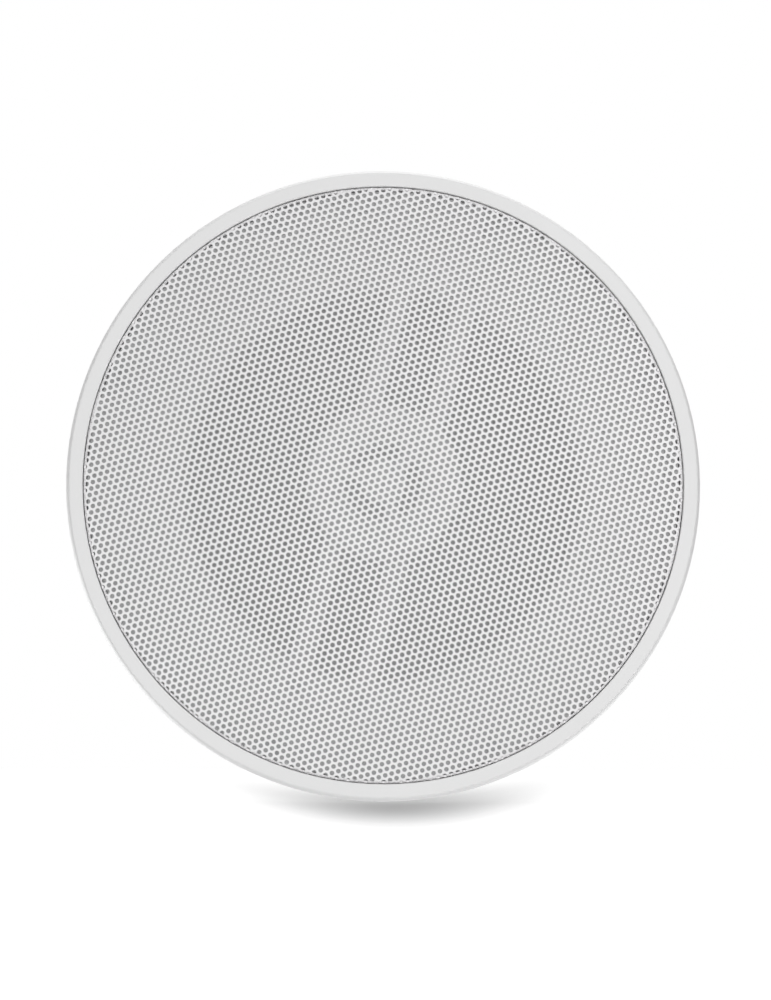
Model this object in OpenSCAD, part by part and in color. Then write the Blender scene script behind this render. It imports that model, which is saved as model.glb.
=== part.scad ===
// Pendant loudspeaker: a two-way coaxial driver behind a domed perforated grille, in a moulded
// bell that hangs from one steel tab. Heights are measured upwards from the face of the front
// rim. The finished part is then moved so that the centre of the hanging hole is the origin.

/* [Front rim] */
// Outer diameter of the front rim
rim_d = 238; // [225:1:260]
// Width of the rim's face around the grille
rim_w = 6.4; // [5:0.1:9]
// How far the rim's rounded outer edge reaches inwards
rim_edge_w = 1.7; // [0.8:0.1:3]
// How far the rim's rounded outer edge reaches back
rim_edge_h = 4.3; // [2:0.1:7]
// Depth of the baffle's face behind the rim's face
rim_depth = 10; // [8:0.5:14]

/* [Bell] */
// Wall of the moulded bell
bell_wall = 3.5; // [2.5:0.1:5]
// Height at which the side starts to curve in
bell_side_h = 60; // [45:1:80]
// How far the side leans in up to that height
side_inset = 2; // [1:0.5:6]
// Height of the flat top
bell_h = 200; // [185:1:240]
// Diameter of the flat top
bell_top_d = 92; // [90:1:100]
// Diameter of the screw bosses inside
boss_d = 8; // [7:0.5:10]
// Height of the bosses that take the baffle's screws
boss_h = 18; // [17:1:26]
// Width of the ledge that the baffle seats on
ledge_w = 12.6; // [12:0.1:14]
// Thickness of that ledge
ledge_t = 4; // [3:0.5:6]

/* [Grille] */
// Gap between the rim and the grille's folded edge
grille_gap = 0.3; // [0.2:0.05:0.6]
// Thickness of the steel sheet
sheet_t = 0.8; // [0.6:0.1:1.2]
// How far the grille's centre stands out from its edge
dome_rise = 8; // [6:0.5:10]
// Depth of the dome's edge behind the rim's face
grille_recess = 0.5; // [0.2:0.1:1.5]
// Radius of the fold between the dome and the edge
fold_r = 1.2; // [0.8:0.1:2]
// Diameter of the holes
hole_d = 6.6; // [5:0.1:7]
// Distance between the centres of neighbouring holes
hole_pitch = 11; // [10.5:0.5:16]
// Angle of a row of holes to the X axis
hole_turn = -16.6; // [-30:0.1:30]
// Bare width between the holes and the fold
hole_margin = 0.6; // [0.4:0.1:3]
// Gap between the sheet and the cloth behind it
scrim_gap = 0.3; // [0.2:0.1:0.6]
// Thickness of the cloth behind the sheet
scrim_t = 0.4; // [0.3:0.1:0.8]

/* [Baffle] */
// Thickness of the baffle plate
baffle_t = 4; // [3:0.5:5]
// Gap between the baffle and the rim
baffle_gap = 0.3; // [0.2:0.05:0.6]
// Height of the lip that keeps the grille's edge in its groove
lip_h = 6; // [4:0.5:7]
// Thickness of that lip
lip_t = 1.5; // [1:0.1:2.5]
// Gap between the lip and the grille's folded edge
lip_gap = 0.4; // [0.2:0.05:0.6]
// How far the opening flares at the front
opening_flare = 2.5; // [1:0.5:3]
// Width of the ring that the driver seats on
seat_w = 14.5; // [14:0.5:16]
// Height of that ring
seat_h = 4; // [3.5:0.5:6]
// Thickness of the foam gaskets
gasket_t = 1.5; // [1:0.25:2.5]
// Number of screws round the baffle
baffle_screw_n = 8; // [6:1:12]
// Number of ribs behind the baffle
rib_n = 16; // [8:1:24]
// Thickness of a rib
rib_t = 1.5; // [1:0.1:2.5]

/* [Screws] */
// Diameter of the plastic screws
screw_d = 3; // [2.5:0.1:3.5]
// Diameter of their heads
head_d = 6; // [5:0.1:7]
// Height of their heads
head_h = 2.2; // [1.8:0.1:3]
// Gap round a screw in the hole that it grips
grip_gap = 0.05; // [0.02:0.01:0.1]
// Gap round a screw in a hole that it passes through
pass_gap = 0.3; // [0.2:0.05:0.6]

/* [Woofer] */
// Room between the ledge in the bell and the driver's frame
frame_room = 17; // [16:0.5:18]
// Width of the frame's flange behind the baffle
flange_w = 9.5; // [9:0.5:10]
// Thickness of the frame's metal
frame_t = 2.2; // [1.5:0.1:3]
// Depth from the frame's face to its seat on the magnet
frame_depth = 38.5; // [37:0.5:45]
// Number of windows in the frame
window_n = 6; // [4:1:8]
// Angle that each window takes
window_angle = 40; // [20:1:42]
// Number of screws round the frame
frame_screw_n = 8; // [4:2:8]
// Distance from the frame's edge to the edge of the rubber surround
surround_inset = 11; // [10.5:0.5:11.5]
// Width of its outer lip
surround_lip = 4.5; // [3.5:0.5:5.5]
// Width of its half roll
roll_w = 9.5; // [8:0.5:10]
// Thickness of the rubber
surround_t = 0.8; // [0.5:0.1:1]
// Width of the flat rim where the cone meets the surround
cone_rim_w = 3; // [2:0.5:4]
// Depth of the cone
cone_depth = 22; // [18:0.5:24]
// Thickness of the cone's paper
cone_t = 0.7; // [0.5:0.1:1.2]
// Diameter of the dust cap
dust_cap_d = 44; // [40:1:50]
// How far the dust cap bulges
dust_cap_rise = 7; // [5:0.5:8]
// Diameter of the coil's former
former_d = 32; // [30:0.5:33]
// Thickness of the former
former_t = 0.25; // [0.15:0.05:0.4]
// Thickness of the voice coil's winding
coil_t = 0.8; // [0.6:0.1:1.2]
// How far the winding stands out at each side of the magnet's gap
coil_overhang = 3; // [2:0.5:4]
// Gap at each side of the moving coil
coil_gap = 0.4; // [0.3:0.05:0.6]
// Glue line between parts of the cone's assembly
glue_gap = 0.05; // [0.02:0.01:0.1]
// Height of the spider above the frame's face
spider_h = 29.5; // [29:0.5:30]
// Outer diameter of the spider
spider_d = 96; // [94:1:98]
// Width of its flat rim
spider_rim = 4; // [3:0.5:5]
// Height of its waves to each side
wave_h = 1.2; // [0.8:0.1:1.5]
// Number of waves
wave_n = 5; // [3:1:6]
// Thickness of the spider's cloth
spider_t = 0.5; // [0.4:0.1:0.8]
// Diameter of the steel plates at the magnet
plate_d = 94; // [90:1:98]
// Thickness of those plates
plate_t = 6; // [5:0.5:7]
// Diameter of the ring magnet
magnet_d = 100; // [98:1:104]
// Bore of the ring magnet
magnet_bore = 46; // [44:1:50]
// Thickness of the ring magnet
magnet_t = 15; // [14:0.5:20]
// Diameter of the vent through the pole
vent_d = 9; // [6:0.5:12]

/* [Tweeter] */
// Angle of the bridge that carries the tweeter
bridge_turn = 105; // [0:1:180]
// Thickness of the bridge's steel
bridge_t = 1.5; // [1:0.1:2]
// Width of each of its two bars
bar_w = 8; // [6:0.5:10]
// Distance between the bars' centre lines
bar_pitch = 25; // [24:0.5:30]
// Diameter of the disc between the bars
bridge_disc_d = 54; // [50:1:55]
// Width of the foot at each end of the bridge
foot_w = 40; // [38:1:44]
// Length of that foot
foot_l = 11; // [10:0.5:12]
// Diameter of the tweeter's housing
pod_d = 58; // [57:1:64]
// Gap between the housing and the grille's cloth
pod_gap = 2; // [1:0.25:2.5]
// Wall of the housing
pod_wall = 1.8; // [1.4:0.1:2.4]
// Rounding of the housing's front edge
pod_edge = 1.6; // [1:0.1:2]
// Diameter of the throat in front of the dome
throat_d = 29; // [28:0.5:31]
// Depth of the throat behind the housing's front
throat_depth = 4.3; // [4:0.1:4.6]
// Diameter of the guard's hub
hub_d = 17; // [12:0.5:18]
// Width of the guard's arms
arm_w = 5; // [3:0.5:7]
// Thickness of the guard
guard_t = 1.2; // [0.8:0.1:1.4]
// Number of the guard's arms
arm_n = 3; // [3:1:6]
// Diameter of the tweeter's coil former
t_former_d = 22; // [20:0.5:23]
// Thickness of that former with its coil
t_coil_t = 0.5; // [0.3:0.05:0.6]
// Gap at each side of that coil
t_coil_gap = 0.35; // [0.3:0.05:0.5]
// How far the dome bulges
t_dome_rise = 2.3; // [1.8:0.1:2.6]
// Thickness of the dome's cloth
t_dome_t = 0.25; // [0.15:0.05:0.4]
// Thickness of the tweeter's steel pot
t_pot_t = 2; // [1.5:0.1:2.2]
// Thickness of the tweeter's pole plate
t_plate_t = 1.5; // [1:0.1:1.8]
// Thickness of the tweeter's magnet
t_magnet_t = 2.8; // [2.5:0.1:3]

/* [Terminal cap] */
// Diameter of the cap over the terminals
cap_d = 88; // [86:1:90]
// Height of the cap
cap_h = 36; // [34:1:42]
// Wall of the cap
cap_wall = 2.5; // [2:0.1:3]
// Rounding of the cap's top edge
cap_round = 10; // [8:0.5:12]
// Distance between the cap's two screws
cap_screw_pitch = 73; // [71:0.5:74]
// Angle of the line through them to the X axis
cap_screw_angle = 45; // [40:1:50]
// Depth of the pockets that hold the screws' heads
cap_pocket = 18; // [14:0.5:20]
// Depth of the bosses below the flat top
cap_boss_h = 12; // [10:0.5:14]

/* [Hanger] */
// Thickness of the hanger's steel
hanger_t = 4; // [3:0.5:5]
// Length of its base
hanger_l = 64; // [62:1:66]
// Width of its base
hanger_w = 18; // [16:0.5:20]
// Width of its tab
tab_w = 40; // [38:1:41]
// Rounding of the tab's corners
tab_round = 9; // [6:0.5:10]
// Diameter of the hanging hole
hang_hole_d = 10; // [8:0.5:11]
// Height of the hanging hole above the cap
hang_rise = 15; // [13:0.5:20]
// Steel left above the hanging hole
hang_edge = 6.5; // [6:0.5:9]
// Diameter of the safety hole
safety_hole_d = 7; // [6:0.5:8]
// Sideways distance of the safety hole from the hanging hole
safety_shift = 13; // [12:0.5:14]
// Depth of the safety hole below the hanging hole
safety_drop = 5; // [2:0.5:6]
// Gap between the tab and the cap's slot
slot_gap = 0.8; // [0.5:0.1:1.5]
// Diameter of the hanger's bolts
bolt_d = 5; // [4:0.5:6]
// Distance between the hanger's bolts
bolt_pitch = 52; // [51:0.5:53]
// Thickness of the backing plate below the flat top
backing_t = 2; // [1.5:0.1:3]
// Length of the backing plate
backing_l = 64; // [62:1:66]
// Width of the backing plate
backing_w = 20; // [16:1:21]

/* [Cable gland] */
// Outer diameter of the gland's thread
gland_d = 16; // [14:0.5:17]
// Bore of the gland's seal
gland_bore = 6.5; // [5:0.25:7]
// Distance of the gland from the middle, away from the header
gland_shift = 21; // [20:0.5:22]
// Size of the gland's hexagon across its corners
gland_hex_d = 21; // [20:0.5:22]
// Height of the gland's collar
gland_collar = 4; // [3:0.5:5]
// Height of the gland's cap nut
gland_nut_h = 13; // [12:0.5:15]
// Length of the gland's thread below its collar
gland_stub = 9; // [8.5:0.5:10]

/* [Terminals] */
// Number of poles
pole_n = 4; // [2:1:4]
// Distance between the poles
pole_pitch = 5; // [4.5:0.1:5.5]
// Width of the header and its plug
header_w = 11; // [9:0.5:12]
// Height of the header
header_h = 8; // [7:0.5:10]
// Height of the plug above the header's floor
plug_h = 15; // [13:0.5:18]
// Wall of the header
header_wall = 1.2; // [0.8:0.1:1.5]
// Distance of the header from the middle
header_shift = 24; // [22:0.5:26]
// Diameter of the plug's wire holes
wire_hole_d = 2.8; // [2:0.1:3]

/* [Tap selector] */
// Place of the selector across the top
tap_x = 24; // [22:0.5:25]
// Place of the selector along the top
tap_y = -21; // [-23:0.5:-20.5]
// Diameter of the switch below the top
tap_body_d = 19; // [16:0.5:19.5]
// Depth of the switch below the top
tap_body_h = 15; // [12:0.5:18]
// Diameter of the spindle
spindle_d = 6; // [5:0.5:6.5]
// Gap round the spindle
spindle_gap = 0.06; // [0.02:0.01:0.1]
// Diameter of the selector's knob
knob_d = 16; // [14:0.5:17]
// Height of the selector's knob
knob_h = 11; // [9:0.5:14]

/* [Transformer] */
// Distance of the transformer from the middle
core_shift = 42; // [40:1:44]
// Width of the iron core
core_w = 48; // [44:1:52]
// Height of the iron core
core_h = 40; // [36:1:42]
// Thickness of the iron core's stack
core_t = 18; // [16:1:20]
// Thickness of the mounting strap
strap_t = 1.2; // [1:0.1:2]
// Length of each ear of the strap
ear_l = 9; // [8.5:0.5:10]
// Distance from the flat top's underside to the core
core_drop = 9; // [8:0.5:12]

/* [Crossover] */
// Length of the circuit board
board_l = 70; // [66:1:72]
// Width of the circuit board
board_w = 48; // [44:1:50]
// Thickness of the circuit board
board_t = 1.6; // [1.2:0.2:2.4]
// Distance of the board's middle from the bell's middle
board_shift = 37; // [36:1:40]
// Distance from the flat top's underside to the board
board_drop = 27; // [25:0.5:32]
// Diameter of the choke
choke_d = 30; // [26:1:32]
// Height of the choke
choke_h = 14; // [10:0.5:18]
// Length of a capacitor
cap_l = 26; // [22:1:28]
// Height of a capacitor
capacitor_h = 17; // [14:0.5:20]
// Thickness of a capacitor
capacitor_t = 9; // [8:0.5:10]
// Length of the resistor
resistor_l = 22; // [18:1:26]
// Thickness of the resistor
resistor_t = 8; // [7:0.5:9]

/* [Wadding] */
// Thickness of the wadding inside the bell
wadding_t = 16; // [10:1:20]
// Height at which the wadding starts
wadding_low = 96; // [92:1:100]
// Height at which the wadding ends
wadding_high = 136; // [125:1:140]
// Gap between the wadding and the bell
wadding_gap = 0.3; // [0.2:0.1:0.6]

/* [Hidden] */
$fn = 72;

// How far a cut runs past the face that it cuts
over = 0.5;
// Number of straight steps in a small rounded profile
round_steps = 5;
// Number of straight steps in the round edge of a moulding
edge_steps = 9;
// Number of straight steps in the bell's curve
bell_steps = 30;

// Rim and bell
rim_r = rim_d / 2;
rim_in_r = rim_r - rim_w;
side_r = rim_r - side_inset;
top_r = bell_top_d / 2;
ledge_z = rim_depth + baffle_t + gasket_t;
ledge_top = ledge_z + ledge_t;
under_top = bell_h - bell_wall;
// Small break of an edge
rim_break = 0.3;
// How far the straight steps of the bell's curve lie inside the true curve
bell_slack = (bell_h - bell_side_h) * (1 - cos(45 / bell_steps));

// Grille: the dome is part of a sphere about dome_z
grille_r = rim_in_r - grille_gap;
dome_r = (grille_r * grille_r + dome_rise * dome_rise) / (2 * dome_rise);
apex_z = grille_recess - dome_rise;
dome_z = apex_z + dome_r;
hole_reach = grille_r - fold_r - hole_margin - hole_d / 2;
hole_rows = ceil(grille_r / (hole_pitch * sin(60)));
cloth_z = apex_z + sheet_t + scrim_gap;

// Baffle
lip_out_r = grille_r - sheet_t - lip_gap;
lip_in_r = lip_out_r - lip_t;
baffle_screw_r = lip_in_r - head_d / 2 - pass_gap;
frame_r = rim_in_r - ledge_w - frame_room;
opening_r = frame_r - flange_w;
seat_r = opening_r + seat_w;
seat_z = rim_depth + baffle_t + seat_h;
baffle_screw_l = baffle_t + gasket_t + boss_h * 2 / 3;
pilot_r = screw_d / 2 + grip_gap;
pass_r = screw_d / 2 + pass_gap;
// The screws that grip the seat ring stay short of going through it
pilot_share = 0.8;
grip_share = 0.9;
pilot_depth = (baffle_t + seat_h) * pilot_share;
grip_depth = pilot_depth * grip_share;

// Woofer
driver_z = seat_z + gasket_t;
surround_r = frame_r - surround_inset;
roll_out_r = surround_r - surround_lip;
roll_in_r = roll_out_r - roll_w;
roll_mid_r = (roll_out_r + roll_in_r) / 2;
frame_in_r = roll_out_r - surround_t;
frame_screw_r = (frame_r + surround_r) / 2 + frame_t / 2;
former_r = former_d / 2;
neck_r = former_r + glue_gap;
cone_in_r = roll_in_r - cone_rim_w;
cone_curve_share = 1.25;
magnet_z = driver_z + frame_depth;
spider_z = driver_z + spider_h;
spider_r = spider_d / 2;
shelf_in_r = spider_r - spider_rim;
shelf_z = spider_z + spider_t;
pole_r = former_r - former_t - coil_gap;
gap_r = former_r + coil_t + glue_gap + coil_gap;
coil_low = magnet_z - coil_overhang;
coil_high = magnet_z + plate_t + coil_overhang;
yoke_z = magnet_z + plate_t + magnet_t;

// Tweeter
pod_r = pod_d / 2;
pod_z = cloth_z + scrim_t + pod_gap;
bridge_z = rim_depth - bridge_t;
throat_r = throat_d / 2;
throat_z = pod_z + throat_depth;
pot_z = bridge_z - t_pot_t;
t_former_r = t_former_d / 2;
t_plate_z = pot_z - t_magnet_t - t_plate_t;
t_plate_r = t_former_r - t_coil_t - t_coil_gap;
pot_in_r = t_former_r + t_coil_gap;
pot_r = pot_in_r + t_pot_t;
dome_base = throat_z + t_dome_t;
housing_screw_r = pod_r - pod_wall - head_d / 2 - pass_gap;
foot_r = opening_r + opening_flare + foot_l / 2 + rim_break;

// Cap, hanger and gland
cap_r = cap_d / 2;
cap_top = bell_h + cap_h;
cap_screw_l = cap_h - cap_pocket + cap_boss_h / 2;
hang_z = cap_top + hang_rise;
tab_top = hang_z + hang_hole_d / 2 + hang_edge;
weld_w = hanger_t * 3 / 8;
bolt_head_share = 0.7;
bolt_head_h = bolt_d * bolt_head_share;
// A hexagon across its corners, as a share of its thread
hex_share = 1.85;
bolt_l = hanger_t + bell_wall + backing_t + bolt_d;
nut_share = 0.8;
nut_h = bolt_d * nut_share;
gland_r = gland_d / 2;
seal_share = 0.78;
seal_r = gland_r * seal_share;

// Terminals and selector
header_l = pole_n * pole_pitch + 2 * header_wall + pass_gap;
bush_h = header_wall * 2;
// The spindle's flat, as a share of its diameter off the axis
flat_share = 0.3;
spindle_top = bell_h + bush_h + knob_h * 2 / 3;

// Transformer: the windows are half as wide as the centre leg
core_z = under_top - core_drop - core_h;
leg_w = core_w / 3;
window_w = core_w / 6;
window_h = core_h - 2 * window_w;
strap_z = core_z + core_h;

// Crossover board
board_z = under_top - board_drop - board_t;
board_inset = boss_d / 2;

// A tube about Z
module tube(r_out, r_in, h) {
    difference() {
        cylinder(r = r_out, h = h);
        translate([0, 0, -over]) cylinder(r = r_in, h = h + 2 * over);
    }
}

// Copies in a ring about Z
module around(n, r, turn = 0) {
    for (i = [0 : n - 1])
        rotate(turn + i * 360 / n) translate([r, 0, 0]) children();
}

// A rectangle about the origin with round corners
module round_rect(l, w, r) {
    square([l - 2 * r, w], center = true);
    square([l, w - 2 * r], center = true);
    for (x = [-1, 1], y = [-1, 1]) translate([x * (l / 2 - r), y * (w / 2 - r)]) circle(r = r);
}

// A pan-head screw with a cross recess: the shank points up from zero, the head hangs below
module screw(d, l, head, height) {
    cross_share = 0.55;
    slot_share = 0.14;
    depth_share = 0.6;
    difference() {
        union() {
            cylinder(d = d, h = l);
            rotate_extrude() polygon([
                [0, 0],
                [head / 2, 0],
                for (i = [0 : round_steps]) let (a = 75 * i / round_steps)
                    [head / 2 * cos(a), -height / 3 - height * 2 / 3 * sin(a) / sin(75)],
                [0, -height]
            ]);
        }
        translate([0, 0, -height]) for (a = [0, 90]) rotate(a)
            cube([head * cross_share, head * slot_share, 2 * height * depth_share], center = true);
    }
}

// A hexagon bolt with its washer face: the shank points down from zero, the head stands above
module hex_bolt(d, l, height) {
    translate([0, 0, -l]) cylinder(d = d, h = l);
    cylinder(d = d * hex_share, h = height, $fn = 6);
}

// A hexagon nut that stands on zero
module hex_nut(d, height) {
    difference() {
        cylinder(d = d * hex_share, h = height, $fn = 6);
        translate([0, 0, -over]) cylinder(d = d + 2 * grip_gap, h = height + 2 * over);
    }
}

// Outline of the bell, from the rim's face to the middle of the flat top
function bell_profile(wall, low) = concat(
    wall > 0 ? [[side_at(low) - wall, low]] : [
        for (i = [0 : edge_steps]) let (a = 90 * i / edge_steps)
            [rim_r - rim_edge_w * (1 - sin(a)), rim_edge_h * (1 - cos(a))]
    ],
    [[side_r - wall, bell_side_h]],
    [for (i = [1 : bell_steps]) let (a = 90 * i / bell_steps)
        [top_r + (side_r - wall - top_r) * cos(a),
         bell_side_h + (bell_h - wall - bell_side_h) * sin(a)]],
    [[0, bell_h - wall]]
);

// Radius of the bell's outside at a height below the curve
function side_at(z) = rim_r - side_inset * (z - rim_edge_h) / (bell_side_h - rim_edge_h);

// Radius of the bell's inside at a height on the curve
function inside_at(z) = top_r + (side_r - bell_wall - top_r)
    * sqrt(1 - pow((z - bell_side_h) / (under_top - bell_side_h), 2));

function reversed(list) = [for (i = [len(list) - 1 : -1 : 0]) list[i]];

module at_baffle_screws() {
    around(baffle_screw_n, baffle_screw_r, 360 / baffle_screw_n / 2) children();
}

module at_cap_screws() {
    around(2, cap_screw_pitch / 2, cap_screw_angle) children();
}

module at_hanger_bolts() {
    for (x = [-1, 1]) translate([x * bolt_pitch / 2, 0, 0]) children();
}

module at_board_screws() {
    for (x = [-1, 1], y = [-1, 1])
        translate([x * (board_l / 2 - board_inset), board_shift + y * (board_w / 2 - board_inset), 0])
            children();
}

module at_strap_screws() {
    for (x = [-1, 1]) translate([x * (core_w + 2 * strap_t + ear_l) / 2, -core_shift, 0]) children();
}

// One moulding: rim, bell, ledge and the bosses inside it
module enclosure() {
    color("white") difference() {
        union() {
            rotate_extrude($fn = 128) polygon(concat(
                [[rim_in_r + rim_break, 0]],
                bell_profile(0, 0),
                reversed(bell_profile(bell_wall, ledge_top)),
                [[rim_in_r - ledge_w, ledge_top], [rim_in_r - ledge_w, ledge_z],
                 [rim_in_r, ledge_z], [rim_in_r, rim_break]]
            ));
            at_baffle_screws() translate([0, 0, ledge_z]) cylinder(d = boss_d, h = boss_h);
            intersection() {
                rotate_extrude($fn = 128) polygon(concat(
                    [[0, bell_side_h]],
                    bell_profile(bell_wall / 2, bell_side_h - bell_wall)
                ));
                union() {
                    at_cap_screws() column(cap_boss_h);
                    at_board_screws() column(board_drop + bell_wall);
                    at_strap_screws() column(core_drop + bell_wall - strap_t);
                }
            }
        }
        at_baffle_screws() translate([0, 0, ledge_z - over])
            cylinder(r = pilot_r, h = boss_h - bell_wall + over);
        at_cap_screws() translate([0, 0, bell_h - cap_boss_h + rib_t])
            cylinder(r = pilot_r, h = cap_boss_h);
        at_board_screws() translate([0, 0, under_top - board_drop - over])
            cylinder(r = pilot_r, h = board_drop / 2 + over);
        at_strap_screws() translate([0, 0, strap_z + strap_t - over])
            cylinder(r = pilot_r, h = core_drop - strap_t + over);
        at_hanger_bolts() through_top(bolt_d / 2 + pass_gap);
        translate([tap_x, tap_y, 0]) through_top(spindle_d / 2 + bush_h + pass_gap);
        translate([0, header_shift, under_top - over])
            linear_extrude(bell_wall + 2 * over) round_rect(header_l / 2, header_w / 2, header_wall);
    }
}

// A boss that hangs from the flat top, whose lower end lies h below the top's face
module column(h) {
    translate([0, 0, bell_h - h]) cylinder(d = boss_d, h = h - bell_wall / 2);
}

module through_top(r) {
    translate([0, 0, under_top - over]) cylinder(r = r, h = bell_wall + 2 * over);
}

// Front plate that carries the driver: lip, flared opening, seat ring and ribs
module baffle() {
    color("whitesmoke") difference() {
        union() {
            translate([0, 0, rim_depth]) cylinder(r = rim_in_r - baffle_gap, h = baffle_t, $fn = 128);
            translate([0, 0, rim_depth - lip_h]) cylinder(r = lip_out_r, h = lip_h + over, $fn = 128);
            translate([0, 0, rim_depth]) cylinder(r = seat_r, h = baffle_t + seat_h, $fn = 128);
            for (i = [0 : rib_n - 1]) rotate(i * 360 / rib_n)
                translate([seat_r - rib_t, -rib_t / 2, rim_depth + rib_t])
                    cube([rim_in_r - ledge_w - seat_r, rib_t, baffle_t + seat_h - 2 * rib_t]);
        }
        translate([0, 0, rim_depth - lip_h - over])
            cylinder(r = lip_in_r, h = lip_h + over, $fn = 128);
        translate([0, 0, rim_depth - over]) cylinder(r = opening_r, h = baffle_t + seat_h + 2 * over);
        translate([0, 0, rim_depth])
            cylinder(r1 = opening_r + opening_flare, r2 = opening_r, h = baffle_t);
        at_baffle_screws() translate([0, 0, rim_depth - over])
            cylinder(r = pass_r, h = baffle_t + 2 * over);
        at_frame_screws() translate([0, 0, seat_z - pilot_depth])
            cylinder(r = pilot_r, h = pilot_depth + over);
        at_bridge_screws() translate([0, 0, rim_depth - over])
            cylinder(r = pilot_r, h = pilot_depth + over);
    }
}

// The ring starts half a step from the bridge, so that no screw meets one of the bridge's feet
module at_frame_screws() {
    around(frame_screw_n, frame_screw_r, bridge_turn + 180 / frame_screw_n) children();
}

module at_bridge_screws() {
    for (end = [0, 180], side = [-1, 1]) rotate(bridge_turn + end)
        translate([foot_r, side * bar_pitch / 2, 0]) children();
}

module baffle_gasket() {
    color("dimgray") difference() {
        translate([0, 0, rim_depth + baffle_t])
            tube(rim_in_r - rib_t, rim_in_r - ledge_w + rib_t, gasket_t);
        at_baffle_screws() translate([0, 0, rim_depth]) cylinder(r = pass_r, h = ledge_z);
    }
}

module baffle_screws() {
    color("silver") at_baffle_screws() translate([0, 0, rim_depth])
        screw(screw_d, baffle_screw_l, head_d, head_h);
}

// Everything inside the grille's skin, with the skin's outer size shrunk by t
module grille_envelope(t) {
    intersection() {
        translate([0, 0, dome_z]) sphere(r = dome_r - t, $fn = 360);
        rotate_extrude($fn = 128) polygon([
            [0, apex_z - over],
            [grille_r - fold_r - t / 2, apex_z - over],
            [grille_r - fold_r - t / 2, grille_recess + t],
            for (i = [1 : 2]) let (a = 90 * i / 3)
                [grille_r - t - (fold_r - t / 2) * (1 - sin(a)),
                 grille_recess + t + (fold_r - t / 2) * (1 - cos(a))],
            [grille_r - t, grille_recess + t + fold_r],
            [grille_r - t, rim_depth + over],
            [0, rim_depth + over]
        ]);
    }
}

// Pressed steel: a spherical dome, a small fold and an edge that stands on the baffle. The holes
// lie on a triangular grid and run square to the sheet.
module grille() {
    color("white") difference() {
        intersection() {
            grille_envelope(0);
            translate([0, 0, apex_z - over]) cylinder(r = rim_r, h = rim_depth - apex_z + over);
        }
        grille_envelope(sheet_t);
        for (row = [-hole_rows : hole_rows], col = [-2 * hole_rows : 2 * hole_rows])
            let (
                x = (col + row / 2) * hole_pitch,
                y = row * hole_pitch * sin(60),
                d = sqrt(x * x + y * y)
            )
            if (d < hole_reach)
                translate([0, 0, dome_z]) rotate(hole_turn + atan2(y, x))
                    rotate([0, 180 - asin(d / dome_r), 0])
                        translate([0, 0, dome_r - 2 * sheet_t])
                            cylinder(d = hole_d, h = 3 * sheet_t, $fn = 24);
    }
}

// Thin cloth that follows the dome from behind
module grille_cloth() {
    cloth_out = dome_r - sheet_t - scrim_gap;
    color("gray") translate([0, 0, dome_z]) intersection() {
        difference() {
            sphere(r = cloth_out, $fn = 360);
            sphere(r = cloth_out - scrim_t, $fn = 360);
        }
        translate([0, 0, -cloth_out - over]) cylinder(r = lip_out_r, h = 2 * dome_rise);
    }
}

// Pressed frame: flange, sloping wall with windows, shelf for the spider and seat for the magnet
module woofer_frame() {
    foot_z = magnet_z - frame_t;
    color("dimgray") difference() {
        rotate_extrude($fn = 96) polygon([
            [frame_in_r, driver_z],
            [frame_r, driver_z],
            [frame_r, driver_z + frame_t],
            [frame_in_r + frame_t, driver_z + frame_t],
            [spider_r + frame_t, shelf_z],
            [spider_r + frame_t, magnet_z],
            [gap_r + coil_gap, magnet_z],
            [gap_r + coil_gap, foot_z],
            [spider_r, foot_z],
            [spider_r, shelf_z + frame_t],
            [shelf_in_r, shelf_z + frame_t],
            [shelf_in_r, shelf_z],
            [spider_r, shelf_z]
        ]);
        around(window_n, 0, -window_angle / 2) rotate_extrude(angle = window_angle, $fn = 96)
            translate([shelf_in_r, driver_z + 2 * frame_t])
                square([frame_r - shelf_in_r, spider_h - 3 * frame_t]);
        at_frame_screws() translate([0, 0, driver_z - over])
            cylinder(r = pass_r, h = frame_t + 2 * over);
    }
}

module frame_gasket() {
    color("black") difference() {
        translate([0, 0, seat_z]) tube(frame_r - rim_break, opening_r + rim_break, gasket_t);
        at_frame_screws() translate([0, 0, seat_z - over])
            cylinder(r = pass_r, h = gasket_t + 2 * over);
    }
}

module frame_screws() {
    color("silver") at_frame_screws() translate([0, 0, driver_z + frame_t]) mirror([0, 0, 1])
        screw(screw_d, frame_t + gasket_t + grip_depth, head_d, head_h);
}

// Half roll with a lip on the frame and a lip on the cone
module surround() {
    front_z = driver_z - surround_t;
    color("black") rotate_extrude($fn = 96) polygon([
        [surround_r, driver_z],
        [surround_r, front_z],
        for (i = [0 : 12]) let (a = 180 * i / 12)
            [roll_mid_r + roll_w / 2 * cos(a), front_z - roll_w / 2 * sin(a)],
        [cone_in_r + rim_break, front_z],
        [cone_in_r + rim_break, driver_z],
        [roll_in_r + surround_t, driver_z],
        for (i = [12 : -1 : 0]) let (a = 180 * i / 12)
            [roll_mid_r + (roll_w / 2 - surround_t) * cos(a),
             front_z - (roll_w / 2 - surround_t) * sin(a)],
        [roll_out_r - surround_t, driver_z]
    ]);
}

// Height of the cone's face at a radius, flatter at the rim and steeper at the neck
function cone_z(r) = driver_z
    + cone_depth * pow(1 - (r - neck_r) / (cone_in_r - neck_r), cone_curve_share);

module cone() {
    steps = 10;
    curve = [for (i = [0 : steps]) let (r = cone_in_r + (neck_r - cone_in_r) * i / steps)
        [r, cone_z(r)]];
    color("darkslategray") rotate_extrude($fn = 96) polygon(concat(
        [[roll_in_r, driver_z]],
        curve,
        [for (p = reversed(curve)) [p[0], p[1] + cone_t]],
        [[roll_in_r, driver_z + cone_t]]
    ));
}

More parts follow.
